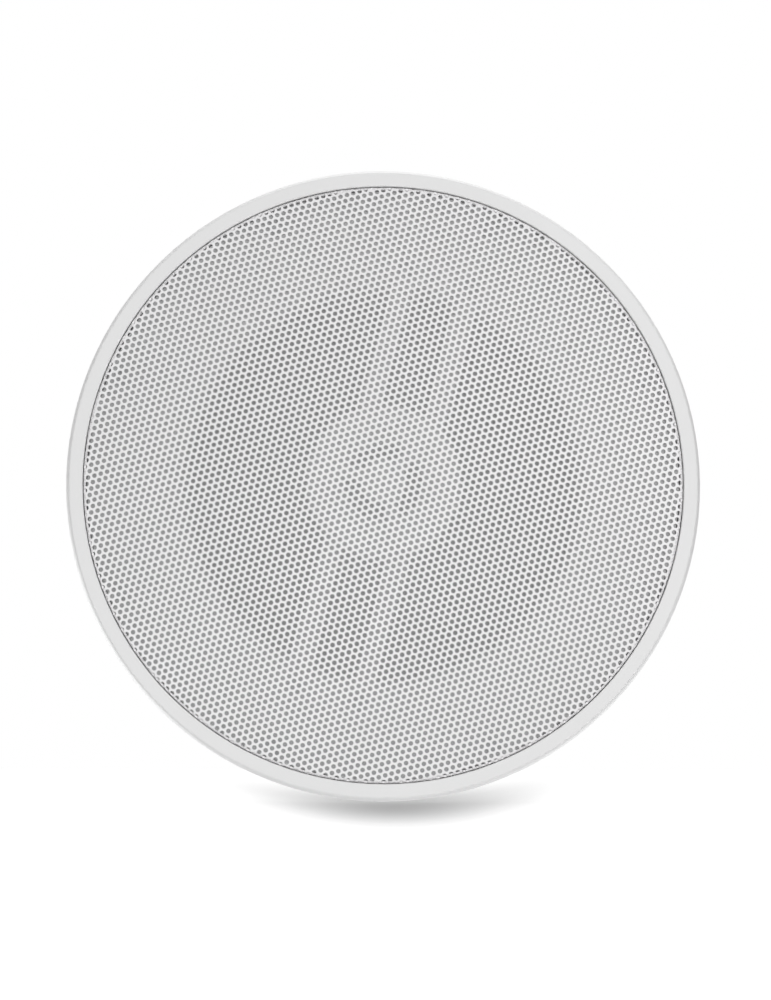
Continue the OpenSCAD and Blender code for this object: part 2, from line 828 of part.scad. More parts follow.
module dust_cap() {
    steps = 8;
    r = dust_cap_d / 2;
    base_z = cone_z(r) - cone_t - glue_gap;
    ball_r = (r * r + dust_cap_rise * dust_cap_rise) / (2 * dust_cap_rise);
    arc = [for (i = [0 : steps]) let (x = r * i / steps)
        [x, base_z - dust_cap_rise + ball_r - sqrt(ball_r * ball_r - x * x)]];
    color("black") rotate_extrude() polygon(concat(
        arc,
        [for (p = reversed(arc)) [p[0], p[1] + cone_t]]
    ));
}

module coil_former() {
    low = cone_z(neck_r) - glue_gap;
    color("tan") translate([0, 0, low]) tube(former_r, former_r - former_t, coil_high - low);
}

module voice_coil() {
    color("peru") translate([0, 0, coil_low])
        tube(former_r + glue_gap + coil_t, former_r + glue_gap, coil_high - coil_low);
}

// Waved cloth disc that centres the former
module spider() {
    steps = 8 * wave_n;
    low_r = former_r + glue_gap;
    wave = [for (i = [0 : steps]) let (u = i / steps)
        [low_r + (shelf_in_r - low_r) * u, spider_z + wave_h * sin(360 * wave_n * u)]];
    color("goldenrod") rotate_extrude() polygon(concat(
        wave,
        [[spider_r - rim_break, spider_z], [spider_r - rim_break, shelf_z]],
        [for (p = reversed(wave)) [p[0], p[1] + spider_t]]
    ));
}

module top_plate() {
    color("gray") translate([0, 0, magnet_z]) tube(plate_d / 2, gap_r, plate_t);
}

module ring_magnet() {
    color("black") translate([0, 0, magnet_z + plate_t])
        tube(magnet_d / 2, magnet_bore / 2, magnet_t);
}

// Back plate and pole in one piece of steel, with a vent through it
module pole_yoke() {
    color("gray") difference() {
        union() {
            translate([0, 0, yoke_z]) cylinder(d = plate_d, h = plate_t);
            translate([0, 0, magnet_z]) cylinder(r = pole_r, h = yoke_z - magnet_z + plate_t);
        }
        translate([0, 0, magnet_z - over])
            cylinder(d = vent_d, h = yoke_z - magnet_z + plate_t + 2 * over);
    }
}

// Two steel bars with a disc between them and a foot at each end
module tweeter_bridge() {
    color("whitesmoke") rotate(bridge_turn) translate([0, 0, bridge_z]) difference() {
        linear_extrude(bridge_t) {
            for (y = [-1, 1]) translate([0, y * bar_pitch / 2])
                square([2 * foot_r, bar_w], center = true);
            circle(d = bridge_disc_d);
            for (x = [-1, 1]) translate([x * foot_r, 0]) round_rect(foot_l, foot_w, rib_t);
        }
        around(arm_n, housing_screw_r, 90) translate([0, 0, -over])
            cylinder(r = pass_r, h = bridge_t + 2 * over);
        rotate(-bridge_turn) at_bridge_screws() translate([0, 0, -over])
            cylinder(r = pass_r, h = bridge_t + 2 * over);
    }
}

module bridge_screws() {
    color("silver") at_bridge_screws() translate([0, 0, bridge_z])
        screw(screw_d, bridge_t + grip_depth, head_d, head_h);
}

// Round housing with a shallow horn and a guard with a hub and arms
module tweeter_housing() {
    steps = 6;
    horn_share = 0.75;
    lip = pod_r - 2 * pod_edge;
    horn = [for (i = [0 : steps]) let (u = i / steps)
        [lip + (throat_r - lip) * u, pod_z + throat_depth * horn_share * (1 - cos(90 * u))]];
    guard_z = pod_z + rim_break;
    color("whitesmoke") difference() {
        union() {
            rotate_extrude() polygon(concat(
                [[pod_r, bridge_z]],
                [for (i = [0 : round_steps]) let (a = 90 * i / round_steps)
                    [pod_r - pod_edge * (1 - cos(a)), pod_z + pod_edge * (1 - sin(a))]],
                horn,
                [[throat_r, throat_z], [pot_r + pod_wall, throat_z],
                 [throat_r + 2 * pod_wall, throat_z - pod_wall / 2],
                 [lip - pod_wall, pod_z + pod_wall + pod_edge],
                 [pod_r - pod_wall, pod_z + pod_wall + pod_edge],
                 [pod_r - pod_wall, bridge_z]]
            ));
            around(arm_n, housing_screw_r, bridge_turn + 90) translate([0, 0, pod_z + pod_wall])
                cylinder(d = head_d, h = bridge_z - pod_z - pod_wall);
            translate([0, 0, guard_z]) cylinder(d = hub_d, h = guard_t);
            around(arm_n, 0, bridge_turn + 90) translate([0, -arm_w / 2, guard_z])
                cube([lip - pod_wall, arm_w, guard_t]);
        }
        around(arm_n, housing_screw_r, bridge_turn + 90) translate([0, 0, pod_z + 2 * pod_wall])
            cylinder(r = pilot_r, h = bridge_z - pod_z);
    }
}

module housing_screws() {
    color("silver") around(arm_n, housing_screw_r, bridge_turn + 90)
        translate([0, 0, rim_depth]) mirror([0, 0, 1])
            screw(screw_d, bridge_t + (bridge_z - pod_z) / 2, head_d, head_h);
}

// Ring that centres the pot and clamps the dome's lip against the housing
module tweeter_chassis() {
    lip_z = dome_base + t_dome_t;
    color("black") translate([0, 0, lip_z])
        tube(pot_r + pod_wall, pot_r + glue_gap, bridge_z - lip_z);
}

module tweeter_surround() {
    low = t_former_r + glue_gap;
    mid = (low + throat_r) / 2;
    half = (throat_r - low) / 2;
    color("black") rotate_extrude() polygon([
        [pot_r + pod_wall - rim_break, dome_base + t_dome_t],
        [pot_r + pod_wall - rim_break, throat_z],
        for (i = [0 : 8]) let (a = 180 * i / 8)
            [mid + half * cos(a), throat_z - half / 2 * sin(a)],
        [low, dome_base + t_dome_t],
        for (i = [7 : -1 : 1]) let (a = 180 * i / 8)
            [mid + (half - t_dome_t) * cos(a), dome_base - (half - t_dome_t) / 2 * sin(a)]
    ]);
}

module tweeter_dome() {
    steps = 8;
    r = t_former_r - glue_gap;
    ball_r = (r * r + t_dome_rise * t_dome_rise) / (2 * t_dome_rise);
    arc = [for (i = [0 : steps]) let (x = r * i / steps)
        [x, dome_base - t_dome_rise + ball_r - sqrt(ball_r * ball_r - x * x)]];
    color("dimgray") rotate_extrude() polygon(concat(
        arc,
        [for (p = reversed(arc)) [p[0], p[1] + t_dome_t]]
    ));
}

// Former and winding behind the dome
module tweeter_coil() {
    low = dome_base + t_dome_t + glue_gap;
    color("peru") translate([0, 0, low])
        tube(t_former_r - glue_gap, t_former_r - t_coil_t, t_plate_z + t_plate_t - low);
}

module tweeter_plate() {
    color("gray") translate([0, 0, t_plate_z]) cylinder(r = t_plate_r, h = t_plate_t);
}

module tweeter_magnet() {
    color("silver") translate([0, 0, t_plate_z + t_plate_t])
        cylinder(r = t_plate_r - t_coil_gap, h = t_magnet_t);
}

module tweeter_pot() {
    color("gray") difference() {
        translate([0, 0, t_plate_z]) cylinder(r = pot_r, h = bridge_z - t_plate_z);
        translate([0, 0, t_plate_z - over]) cylinder(r = pot_in_r, h = pot_z - t_plate_z + over);
    }
}

// Outline of the cap for a wall, from its foot to the middle of its top
function cap_profile(wall) = concat(
    [[cap_r - wall, bell_h]],
    [for (i = [0 : edge_steps]) let (a = 90 * i / edge_steps)
        [cap_r - cap_round + (cap_round - wall) * cos(a),
         cap_top - cap_round + (cap_round - wall) * sin(a)]],
    [[0, cap_top - wall]]
);

// Cover over the terminals, with a slot for the hanger's tab and a hole for the gland
module terminal_cap() {
    color("white") difference() {
        union() {
            rotate_extrude($fn = 96) polygon(concat(cap_profile(0), reversed(cap_profile(cap_wall))));
            at_cap_screws() translate([0, 0, bell_h]) cylinder(d = boss_d, h = cap_h - cap_wall / 2);
        }
        at_cap_screws() {
            translate([0, 0, bell_h - over]) cylinder(r = pass_r, h = cap_h);
            translate([0, 0, cap_top - cap_pocket])
                cylinder(d = head_d + pass_gap, h = cap_pocket + over);
        }
        translate([0, 0, cap_top - cap_wall - over]) linear_extrude(cap_wall + 2 * over)
            round_rect(tab_w + 2 * slot_gap, hanger_t + 2 * slot_gap, rib_t);
        translate([0, -gland_shift, cap_top - cap_wall - over])
            cylinder(r = gland_r + pass_gap, h = cap_wall + 2 * over);
    }
}

module cap_screws() {
    color("silver") at_cap_screws() translate([0, 0, cap_top - cap_pocket]) mirror([0, 0, 1])
        screw(screw_d, cap_screw_l, head_d, head_h);
}

// Welded steel: a base on the flat top and a tab with the hanging and safety holes
module hanger() {
    color("lightgray") difference() {
        union() {
            translate([0, 0, bell_h]) linear_extrude(hanger_t) round_rect(hanger_l, hanger_w, hanger_t);
            translate([0, hanger_t / 2, bell_h]) rotate([90, 0, 0]) linear_extrude(hanger_t)
                union() {
                    translate([0, (tab_top - bell_h) / 2]) round_rect(tab_w, tab_top - bell_h, tab_round);
                    translate([-tab_w / 2, hanger_t / 2]) square([tab_w, tab_round + hanger_t / 2]);
                }
            for (y = [-1, 1]) translate([-tab_w / 2, 0, bell_h + hanger_t]) rotate([90, 0, 90])
                linear_extrude(tab_w) polygon([
                    [y * (hanger_t / 2 - rim_break), -rim_break],
                    [y * (hanger_t / 2 + weld_w), -rim_break],
                    [y * (hanger_t / 2 + weld_w), 0],
                    [y * hanger_t / 2, weld_w],
                    [y * (hanger_t / 2 - rim_break), weld_w]
                ]);
        }
        translate([0, 0, hang_z]) rotate([90, 0, 0])
            cylinder(d = hang_hole_d, h = 2 * hanger_t, center = true);
        translate([safety_shift, 0, hang_z - safety_drop]) rotate([90, 0, 0])
            cylinder(d = safety_hole_d, h = 2 * hanger_t, center = true);
        at_hanger_bolts() translate([0, 0, bell_h - over])
            cylinder(d = bolt_d + 2 * pass_gap, h = hanger_t + 2 * over);
    }
}

module hanger_bolts() {
    color("silver") at_hanger_bolts() translate([0, 0, bell_h + hanger_t])
        hex_bolt(bolt_d, bolt_l, bolt_head_h);
}

module hanger_nuts() {
    color("silver") at_hanger_bolts() translate([0, 0, under_top - backing_t - nut_h])
        hex_nut(bolt_d, nut_h);
}

module backing_plate() {
    color("silver") difference() {
        translate([0, 0, under_top - backing_t]) linear_extrude(backing_t)
            round_rect(backing_l, backing_w, hanger_t);
        at_hanger_bolts() translate([0, 0, under_top - backing_t - over])
            cylinder(d = bolt_d + 2 * pass_gap, h = backing_t + 2 * over);
    }
}

module at_gland() {
    translate([0, -gland_shift, cap_top]) children();
}

// Threaded sleeve with a hexagon collar that sits on the cap
module gland_body() {
    color("lightgray") at_gland() difference() {
        union() {
            translate([0, 0, -gland_stub]) cylinder(r = gland_r, h = gland_stub);
            cylinder(d = gland_hex_d, h = gland_collar, $fn = 6);
            cylinder(r = gland_r - cap_wall / 4, h = gland_collar + gland_nut_h / 3);
        }
        translate([0, 0, -gland_stub - over])
            cylinder(d = gland_bore + 2 * slot_gap, h = gland_stub + gland_collar + gland_nut_h);
        translate([0, 0, gland_collar])
            cylinder(r = seal_r + grip_gap, h = gland_nut_h);
    }
}

// Cap nut that squeezes the seal
module gland_nut() {
    low = gland_collar + rim_break;
    top_share = 0.7;
    flat_r = gland_hex_d / 2 * cos(30);
    color("lightgray") at_gland() difference() {
        union() {
            translate([0, 0, low]) cylinder(d = gland_hex_d, h = gland_nut_h / 2, $fn = 6);
            translate([0, 0, low + gland_nut_h / 2]) rotate_extrude() polygon([
                [0, -over],
                [flat_r, -over],
                for (i = [0 : edge_steps]) let (a = 90 * i / edge_steps)
                    [gland_r * top_share + (flat_r - gland_r * top_share) * cos(a),
                     gland_nut_h / 2 * sin(a)],
                [0, gland_nut_h / 2]
            ]);
        }
        translate([0, 0, low - over])
            cylinder(r = gland_r - cap_wall / 4 + pass_gap, h = gland_nut_h / 2 + over);
        translate([0, 0, low]) cylinder(d = gland_bore + 2 * slot_gap, h = gland_nut_h + over);
    }
}

module gland_seal() {
    color("black") at_gland() translate([0, 0, gland_collar])
        tube(seal_r, gland_bore / 2, gland_nut_h / 2);
}

module gland_locknut() {
    color("lightgray") at_gland() translate([0, 0, -cap_wall - gland_collar]) difference() {
        cylinder(d = gland_hex_d, h = gland_collar, $fn = 6);
        translate([0, 0, -over]) cylinder(r = gland_r + grip_gap, h = gland_collar + 2 * over);
    }
}

module at_header() {
    translate([0, header_shift, bell_h]) children();
}

module at_poles() {
    for (i = [0 : pole_n - 1]) translate([(i - (pole_n - 1) / 2) * pole_pitch, 0, 0]) children();
}

// Open box that the plug drops into
module terminal_header() {
    color("darkgreen") at_header() difference() {
        linear_extrude(header_h) square([header_l, header_w], center = true);
        translate([0, 0, 2 * header_wall]) linear_extrude(header_h)
            square([header_l - 2 * header_wall, header_w - 2 * header_wall], center = true);
    }
}

// Plug with a wire hole and a clamp screw for each pole
module terminal_plug() {
    body_l = header_l - 2 * header_wall - 2 * grip_gap;
    body_w = header_w - 2 * header_wall - 2 * grip_gap;
    wire_share = 0.7;
    reach_share = 0.8;
    color("green") at_header() translate([0, 0, 2 * header_wall]) difference() {
        union() {
            linear_extrude(plug_h) square([body_l, body_w], center = true);
            translate([0, -header_wall / 2, header_h - header_wall])
                linear_extrude(plug_h - header_h + header_wall)
                    square([body_l, body_w + header_wall], center = true);
        }
        at_poles() {
            translate([0, -body_w / 2 - header_wall - over, plug_h * wire_share]) rotate([-90, 0, 0])
                cylinder(d = wire_hole_d, h = body_w * reach_share);
            translate([0, -header_wall / 2, plug_h - header_wall * 2])
                cylinder(d = wire_hole_d + 2 * grip_gap, h = header_wall * 3);
        }
    }
}

module clamp_screws() {
    slot_share = 0.2;
    height_share = 1.5;
    clamp_h = header_wall * height_share;
    color("silver") at_header() at_poles()
        translate([0, -header_wall / 2, plug_h]) difference() {
            cylinder(d = wire_hole_d, h = clamp_h);
            translate([0, 0, clamp_h])
                cube([wire_hole_d * 2, wire_hole_d * slot_share, header_wall], center = true);
        }
}

module at_tap() {
    translate([tap_x, tap_y, 0]) children();
}

// Rotary switch below the flat top, with its bush through it
module tap_switch() {
    bush_r = spindle_d / 2 + bush_h;
    pin_ring_share = 0.36;
    color("navy") at_tap() difference() {
        union() {
            translate([0, 0, under_top - tap_body_h]) cylinder(d = tap_body_d, h = tap_body_h);
            translate([0, 0, under_top]) cylinder(r = bush_r, h = bell_wall + bush_h);
            around(pole_n + 2, tap_body_d * pin_ring_share)
                translate([0, 0, under_top - tap_body_h - bush_h])
                    cylinder(d = header_wall, h = bush_h * 2, $fn = 6);
        }
        translate([0, 0, under_top - tap_body_h / 2])
            cylinder(r = spindle_d / 2 + spindle_gap, h = bell_h);
    }
}

module tap_spindle() {
    low = under_top - tap_body_h / 2 + rim_break;
    color("silver") at_tap() difference() {
        translate([0, 0, low]) cylinder(d = spindle_d, h = spindle_top - low);
        translate([spindle_d * flat_share, -spindle_d, bell_h + bush_h + rim_break])
            cube([spindle_d, 2 * spindle_d, knob_h]);
    }
}

// Round knob with a pointer ridge across its top
module tap_knob() {
    low = bell_h + bush_h + rim_break;
    skirt_share = 0.25;
    foot_share = 0.5;
    crown_share = 0.7;
    body_r_share = 0.38;
    ridge_share = 0.72;
    ridge_foot_share = 0.4;
    color("black") at_tap() difference() {
        union() {
            translate([0, 0, low]) rotate_extrude() polygon([
                [0, 0],
                [knob_d / 2, 0],
                [knob_d / 2, knob_h * skirt_share],
                for (i = [0 : round_steps]) let (a = 90 * i / round_steps)
                    [knob_d * body_r_share - (1 - cos(a)) * bush_h / 2,
                     knob_h * foot_share + knob_h * (crown_share - foot_share) * sin(a)],
                [0, knob_h * crown_share]
            ]);
            translate([-knob_d * ridge_share / 2, -header_wall, low + knob_h * ridge_foot_share])
                cube([knob_d * ridge_share, 2 * header_wall, knob_h * (1 - ridge_foot_share)]);
        }
        difference() {
            translate([0, 0, low - over])
                cylinder(d = spindle_d + 2 * grip_gap, h = spindle_top - low + over + rim_break);
            translate([spindle_d * flat_share + grip_gap, -spindle_d, low - 2 * over])
                cube([spindle_d, 2 * spindle_d, knob_h]);
        }
    }
}

module at_core() {
    translate([0, -core_shift, core_z]) children();
}

// Stack of iron sheets with two windows
module transformer_core() {
    color("slategray") at_core() rotate([90, 0, 0]) linear_extrude(core_t, center = true)
        difference() {
            translate([-core_w / 2, 0]) square([core_w, core_h]);
            for (x = [-1, 1]) translate([x * (leg_w + window_w) / 2 - window_w / 2, window_w])
                square([window_w, window_h]);
        }
}

// Wound bobbin round the centre leg
module transformer_winding() {
    inner_l = leg_w + 2 * pass_gap;
    inner_w = core_t + 2 * pass_gap;
    outer_l = leg_w + 2 * window_w - 2 * pass_gap;
    outer_w = core_t + 2 * window_w - 2 * pass_gap;
    flange_t = strap_t;
    color("chocolate") at_core() translate([0, 0, window_w + pass_gap]) difference() {
        union() {
            linear_extrude(window_h - 2 * pass_gap)
                round_rect(outer_l - flange_t, outer_w - flange_t, window_w / 2);
            for (z = [0, window_h - 2 * pass_gap - flange_t]) translate([0, 0, z])
                linear_extrude(flange_t) square([outer_l, outer_w], center = true);
        }
        translate([0, 0, -over]) linear_extrude(window_h + 2 * over)
            square([inner_l, inner_w], center = true);
    }
}

// Folded strap over the core, with an ear at each side
module transformer_strap() {
    full_l = core_w + 2 * (strap_t + ear_l);
    color("silver") difference() {
        at_core() {
            translate([0, 0, core_h]) linear_extrude(strap_t)
                round_rect(full_l, core_t, 2 * strap_t);
            for (x = [-1, 1]) translate([x * (core_w + strap_t) / 2, 0, core_h / 5])
                linear_extrude(core_h * 4 / 5 + strap_t / 2)
                    square([strap_t, core_t], center = true);
        }
        at_strap_screws() translate([0, 0, strap_z - over])
            cylinder(r = pass_r, h = strap_t + 2 * over);
    }
}

module strap_screws() {
    bite_share = 0.8;
    color("silver") at_strap_screws() translate([0, 0, strap_z])
        screw(screw_d, strap_t + (core_drop - strap_t) * bite_share, head_d, head_h);
}

module crossover_board() {
    color("darkgreen") difference() {
        translate([0, board_shift, board_z]) linear_extrude(board_t)
            round_rect(board_l, board_w, board_inset / 2);
        at_board_screws() translate([0, 0, board_z - over])
            cylinder(r = pass_r, h = board_t + 2 * over);
    }
}

module board_screws() {
    color("silver") at_board_screws() translate([0, 0, board_z])
        screw(screw_d, board_t + board_drop / 3, head_d, head_h);
}

module at_board(shares) {
    translate([shares[0] * board_l / 2, board_shift + shares[1] * board_w / 2, board_z]) children();
}

// Air-cored choke: a wound ring between two flanges
module choke() {
    hub_share = 0.2;
    wire_share = 0.45;
    place_shares = [-0.42, 0.2];
    color("peru") at_board(place_shares) translate([0, 0, -choke_h]) rotate_extrude() polygon([
        [choke_d * hub_share, 0],
        [choke_d / 2, 0],
        [choke_d / 2, strap_t],
        [choke_d * wire_share, strap_t],
        [choke_d * wire_share, choke_h - strap_t],
        [choke_d / 2, choke_h - strap_t],
        [choke_d / 2, choke_h],
        [choke_d * hub_share, choke_h]
    ]);
}

module capacitors() {
    place_shares = [[0.45, -0.1], [0.45, 0.45]];
    color("gold") for (shares = place_shares) at_board(shares) translate([0, 0, -capacitor_h])
        linear_extrude(capacitor_h) round_rect(cap_l, capacitor_t, header_wall);
}

module resistor() {
    place_shares = [0.35, -0.6];
    color("white") at_board(place_shares) translate([0, 0, -resistor_t])
        linear_extrude(resistor_t) square([resistor_l, resistor_t], center = true);
}

// Ring of polyester wadding against the inside of the bell
module wadding() {
    steps = 6;
    heights = [for (i = [0 : steps]) wadding_low + (wadding_high - wadding_low) * i / steps];
    color("ivory") rotate_extrude() polygon(concat(
        [for (z = heights) [inside_at(z) - wadding_gap - bell_slack, z]],
        [for (z = reversed(heights)) [inside_at(z) - wadding_t, z]]
    ));
}

// Moves the part so that the centre of the hanging hole is the origin
module hung() {
    translate([0, 0, -hang_z]) children();
}

hung() enclosure();
hung() baffle();
hung() baffle_gasket();
hung() baffle_screws();
hung() grille();
hung() grille_cloth();
hung() woofer_frame();
hung() frame_gasket();
hung() frame_screws();
hung() surround();
hung() cone();
hung() dust_cap();
hung() coil_former();
hung() voice_coil();
hung() spider();
hung() top_plate();
hung() ring_magnet();
hung() pole_yoke();
hung() tweeter_bridge();
hung() bridge_screws();
hung() tweeter_housing();
hung() housing_screws();
hung() tweeter_chassis();
hung() tweeter_surround();
hung() tweeter_dome();
hung() tweeter_coil();
hung() tweeter_plate();
hung() tweeter_magnet();
hung() tweeter_pot();
hung() terminal_cap();
hung() cap_screws();
hung() hanger();
hung() hanger_bolts();
hung() hanger_nuts();
hung() backing_plate();
hung() gland_body();
hung() gland_nut();
hung() gland_seal();
hung() gland_locknut();
hung() terminal_header();
hung() terminal_plug();
hung() clamp_screws();
hung() tap_switch();
hung() tap_spindle();
hung() tap_knob();
hung() transformer_core();
hung() transformer_winding();
hung() transformer_strap();
hung() strap_screws();
hung() crossover_board();
hung() board_screws();
hung() choke();
hung() capacitors();
hung() resistor();
hung() wadding();
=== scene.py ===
"""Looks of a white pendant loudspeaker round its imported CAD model.

The grille gets its fine perforation, the cloth behind it its weave and the wadding its soft form.
Every other piece keeps its CAD shape and gets the finish of the real one. Metres, +Z up.
"""

import math

import bpy
import numpy as np
from mathutils import Matrix, Vector, noise
from mathutils.geometry import delaunay_2d_cdt


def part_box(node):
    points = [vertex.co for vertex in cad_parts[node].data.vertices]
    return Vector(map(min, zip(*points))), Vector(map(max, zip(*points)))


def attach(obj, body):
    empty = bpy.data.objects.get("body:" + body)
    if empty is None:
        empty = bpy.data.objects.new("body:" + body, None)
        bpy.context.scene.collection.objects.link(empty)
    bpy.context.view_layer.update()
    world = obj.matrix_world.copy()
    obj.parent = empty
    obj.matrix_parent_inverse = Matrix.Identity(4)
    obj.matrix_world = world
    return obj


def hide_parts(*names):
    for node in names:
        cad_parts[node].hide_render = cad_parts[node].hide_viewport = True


bl_info = {
    "name": "Pendant loudspeaker",
    "version": (1, 0, 0),
    "blender": (4, 5, 0),
    "location": "3D View > Sidebar > Speaker",
    "description": "Perforated grille, cloth, wadding, finishes and studio of a pendant loudspeaker",
    "category": "Object",
}

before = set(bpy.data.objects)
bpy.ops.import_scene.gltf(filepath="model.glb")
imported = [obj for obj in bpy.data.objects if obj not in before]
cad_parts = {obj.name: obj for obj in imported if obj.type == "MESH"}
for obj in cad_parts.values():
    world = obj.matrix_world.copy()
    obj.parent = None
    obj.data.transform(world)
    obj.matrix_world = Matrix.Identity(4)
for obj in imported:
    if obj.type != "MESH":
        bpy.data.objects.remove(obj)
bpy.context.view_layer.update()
RIM_LOW, RIM_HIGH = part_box("enclosure")
SHEET_LOW, SHEET_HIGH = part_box("grille")
CLOTH_LOW, CLOTH_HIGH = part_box("grille_cloth")
MM = 0.001


def hex_colour(code):
    """Linear colour of an sRGB hex value such as E8E8E6."""
    shares = [int(code[i : i + 2], 16) / 255 for i in (0, 2, 4)]
    return tuple(s / 12.92 if s <= 0.04045 else ((s + 0.055) / 1.055) ** 2.4 for s in shares)


# Sizes and colours


def length_prop(name, text, default, low, high):
    """A length in metres, shown in the scene's units."""
    return bpy.props.FloatProperty(
        name=name, description=text, default=default, min=low, max=high, unit="LENGTH", precision=5
    )


def colour_prop(name, text, code):
    """A colour, given by its sRGB hex value."""
    return bpy.props.FloatVectorProperty(
        name=name, description=text, default=hex_colour(code), size=3, min=0, max=1, subtype="COLOR"
    )


def power_prop(name, text, default):
    """A lamp's power in watts."""
    return bpy.props.FloatProperty(name=name, description=text, default=default, min=0, subtype="POWER")


class SpeakerGrille(bpy.types.PropertyGroup):
    """Sizes of the perforated sheet"""

    hole: length_prop("Hole", "Diameter of a punched hole", 1.76 * MM, 0.5 * MM, 6 * MM)
    pitch: length_prop("Pitch", "Distance between neighbouring holes", 2.5 * MM, 1 * MM, 12 * MM)
    sheet: length_prop("Sheet", "Thickness of the steel sheet", 0.8 * MM, 0.3 * MM, 1.5 * MM)
    rise: length_prop("Dome", "Rise of the dome over its edge", 8 * MM, 1 * MM, 20 * MM)
    fold: length_prop("Fold", "Outer radius of the fold at the edge", 1.2 * MM, 0.8 * MM, 4 * MM)
    bare: length_prop("Cut edge", "Bare width beside the cut edge", 0.6 * MM, 0.2 * MM, 4 * MM)
    turn: bpy.props.FloatProperty(
        name="Turn", description="Angle of a row of holes to the X axis", subtype="ANGLE",
        default=math.radians(-16.6), min=-math.pi, max=math.pi,
    )
    shift: bpy.props.FloatVectorProperty(
        name="Shift", description="Place of the hole next to the middle",
        default=(0.22 * MM, -0.83 * MM), size=2, subtype="XYZ_LENGTH", unit="LENGTH", precision=5,
    )
    sides: bpy.props.IntProperty(
        name="Sides", description="Sides of a hole's outline", default=12, min=6, max=24, step=6
    )


class SpeakerSoft(bpy.types.PropertyGroup):
    """The cloth behind the sheet and the wadding in the bell"""

    cloth: length_prop("Cloth", "Thickness of the cloth", 0.25 * MM, 0.1 * MM, 0.4 * MM)
    openness: bpy.props.FloatProperty(
        name="Openness", description="Share of the cloth that is open between its threads",
        default=0.5, min=0, max=1, subtype="FACTOR",
    )
    haze: bpy.props.FloatProperty(
        name="Haze", description="Share of the light on a thread that it passes on, scattered",
        default=0.2, min=0, max=1, subtype="FACTOR",
    )
    tuft: length_prop("Tuft", "Size of the wadding's soft lumps", 22 * MM, 5 * MM, 60 * MM)
    hollow: length_prop("Hollow", "Depth of the dips between the lumps", 4 * MM, 0, 8 * MM)


class SpeakerColours(bpy.types.PropertyGroup):
    """Colours that an owner of the part may want to change"""

    shell: colour_prop("Shell", "White ABS of the bell, cap and baffle", "E2E2E2")
    coat: colour_prop("Coat", "White powder coat of the grille", "EDECED")
    cloth: colour_prop("Cloth", "White thread of the grille's cloth", "F1F2F2")
    rubber: colour_prop("Rubber", "Black rubber of the surround and the seal", "1B1B1C")
    pulp: colour_prop("Pulp", "Dark paper pulp of the cone", "2B2C2E")
    zinc: colour_prop("Zinc", "Bright zinc plate of the steel parts", "B9BBBD")
    nylon: colour_prop("Nylon", "Light grey nylon of the cable gland", "DCDDDD")
    board: colour_prop("Board", "Green solder mask of the circuit board", "1E5B3C")


class SpeakerStudio(bpy.types.PropertyGroup):
    """Camera and light"""

    lens: bpy.props.FloatProperty(
        name="Lens", description="Focal length on a 36 mm wide sensor", default=124, min=20, max=300,
        subtype="DISTANCE_CAMERA",
    )
    distance: length_prop("Distance", "From the camera to the rim", 1.2927, 0.3, 5)
    tilt: bpy.props.FloatProperty(
        name="Tilt", description="How far the camera stands below the grille's axis",
        default=math.radians(6.2), min=-1.5, max=1.5, subtype="ANGLE",
    )
    swing: bpy.props.FloatProperty(
        name="Swing", description="How far the camera stands to the left of the grille's axis",
        default=math.radians(1.0), min=-1.5, max=1.5, subtype="ANGLE",
    )
    key: power_prop("Key", "Lamp beside the camera, to the right", 13)
    fill: power_prop("Fill", "Lamp beside the camera, to the left", 10.5)
    overhead: power_prop("Overhead", "Lamp straight over the picture, which casts the shadow", 18)
    back: power_prop("Back", "Lamp behind the speaker, for the bell", 19)
    side: power_prop("Side", "Lamp behind the speaker, to its left, for the bell", 28)
    bounce: power_prop("Bounce", "White card under the picture, which lightens the rim's lower edge", 5)
    sky: bpy.props.FloatProperty(
        name="Sky", description="Strength of the even light from all sides", default=0.25, min=0, max=2
    )


# Making meshes


def link_mesh(name, points, faces, sharp=None):
    """A new object from points and faces, smooth but for edges sharper than the angle."""
    mesh = bpy.data.meshes.new(name)
    mesh.from_pydata(np.asarray(points).tolist(), [], faces)
    mesh.update()
    mesh.shade_smooth()
    if sharp:
        mesh.set_sharp_from_angle(angle=math.radians(sharp))
    made = bpy.data.objects.new(name, mesh)
    bpy.context.scene.collection.objects.link(made)
    return made


def lathe(profile, segments):
    """Points and quads of a closed profile of (radius, height) turned about Z."""
    turn = np.linspace(0, 2 * math.pi, segments, endpoint=False)
    r, z = np.asarray(profile, float).T
    points = np.stack(
        [np.outer(np.cos(turn), r), np.outer(np.sin(turn), r), np.tile(z, (segments, 1))], axis=2
    )
    n = len(profile)
    faces = []
    for i in range(segments):
        here, beside = i * n, (i + 1) % segments * n
        for j in range(n):
            above = (j + 1) % n
            faces.append((here + j, beside + j, beside + above, here + above))
    return points.reshape(-1, 3), faces


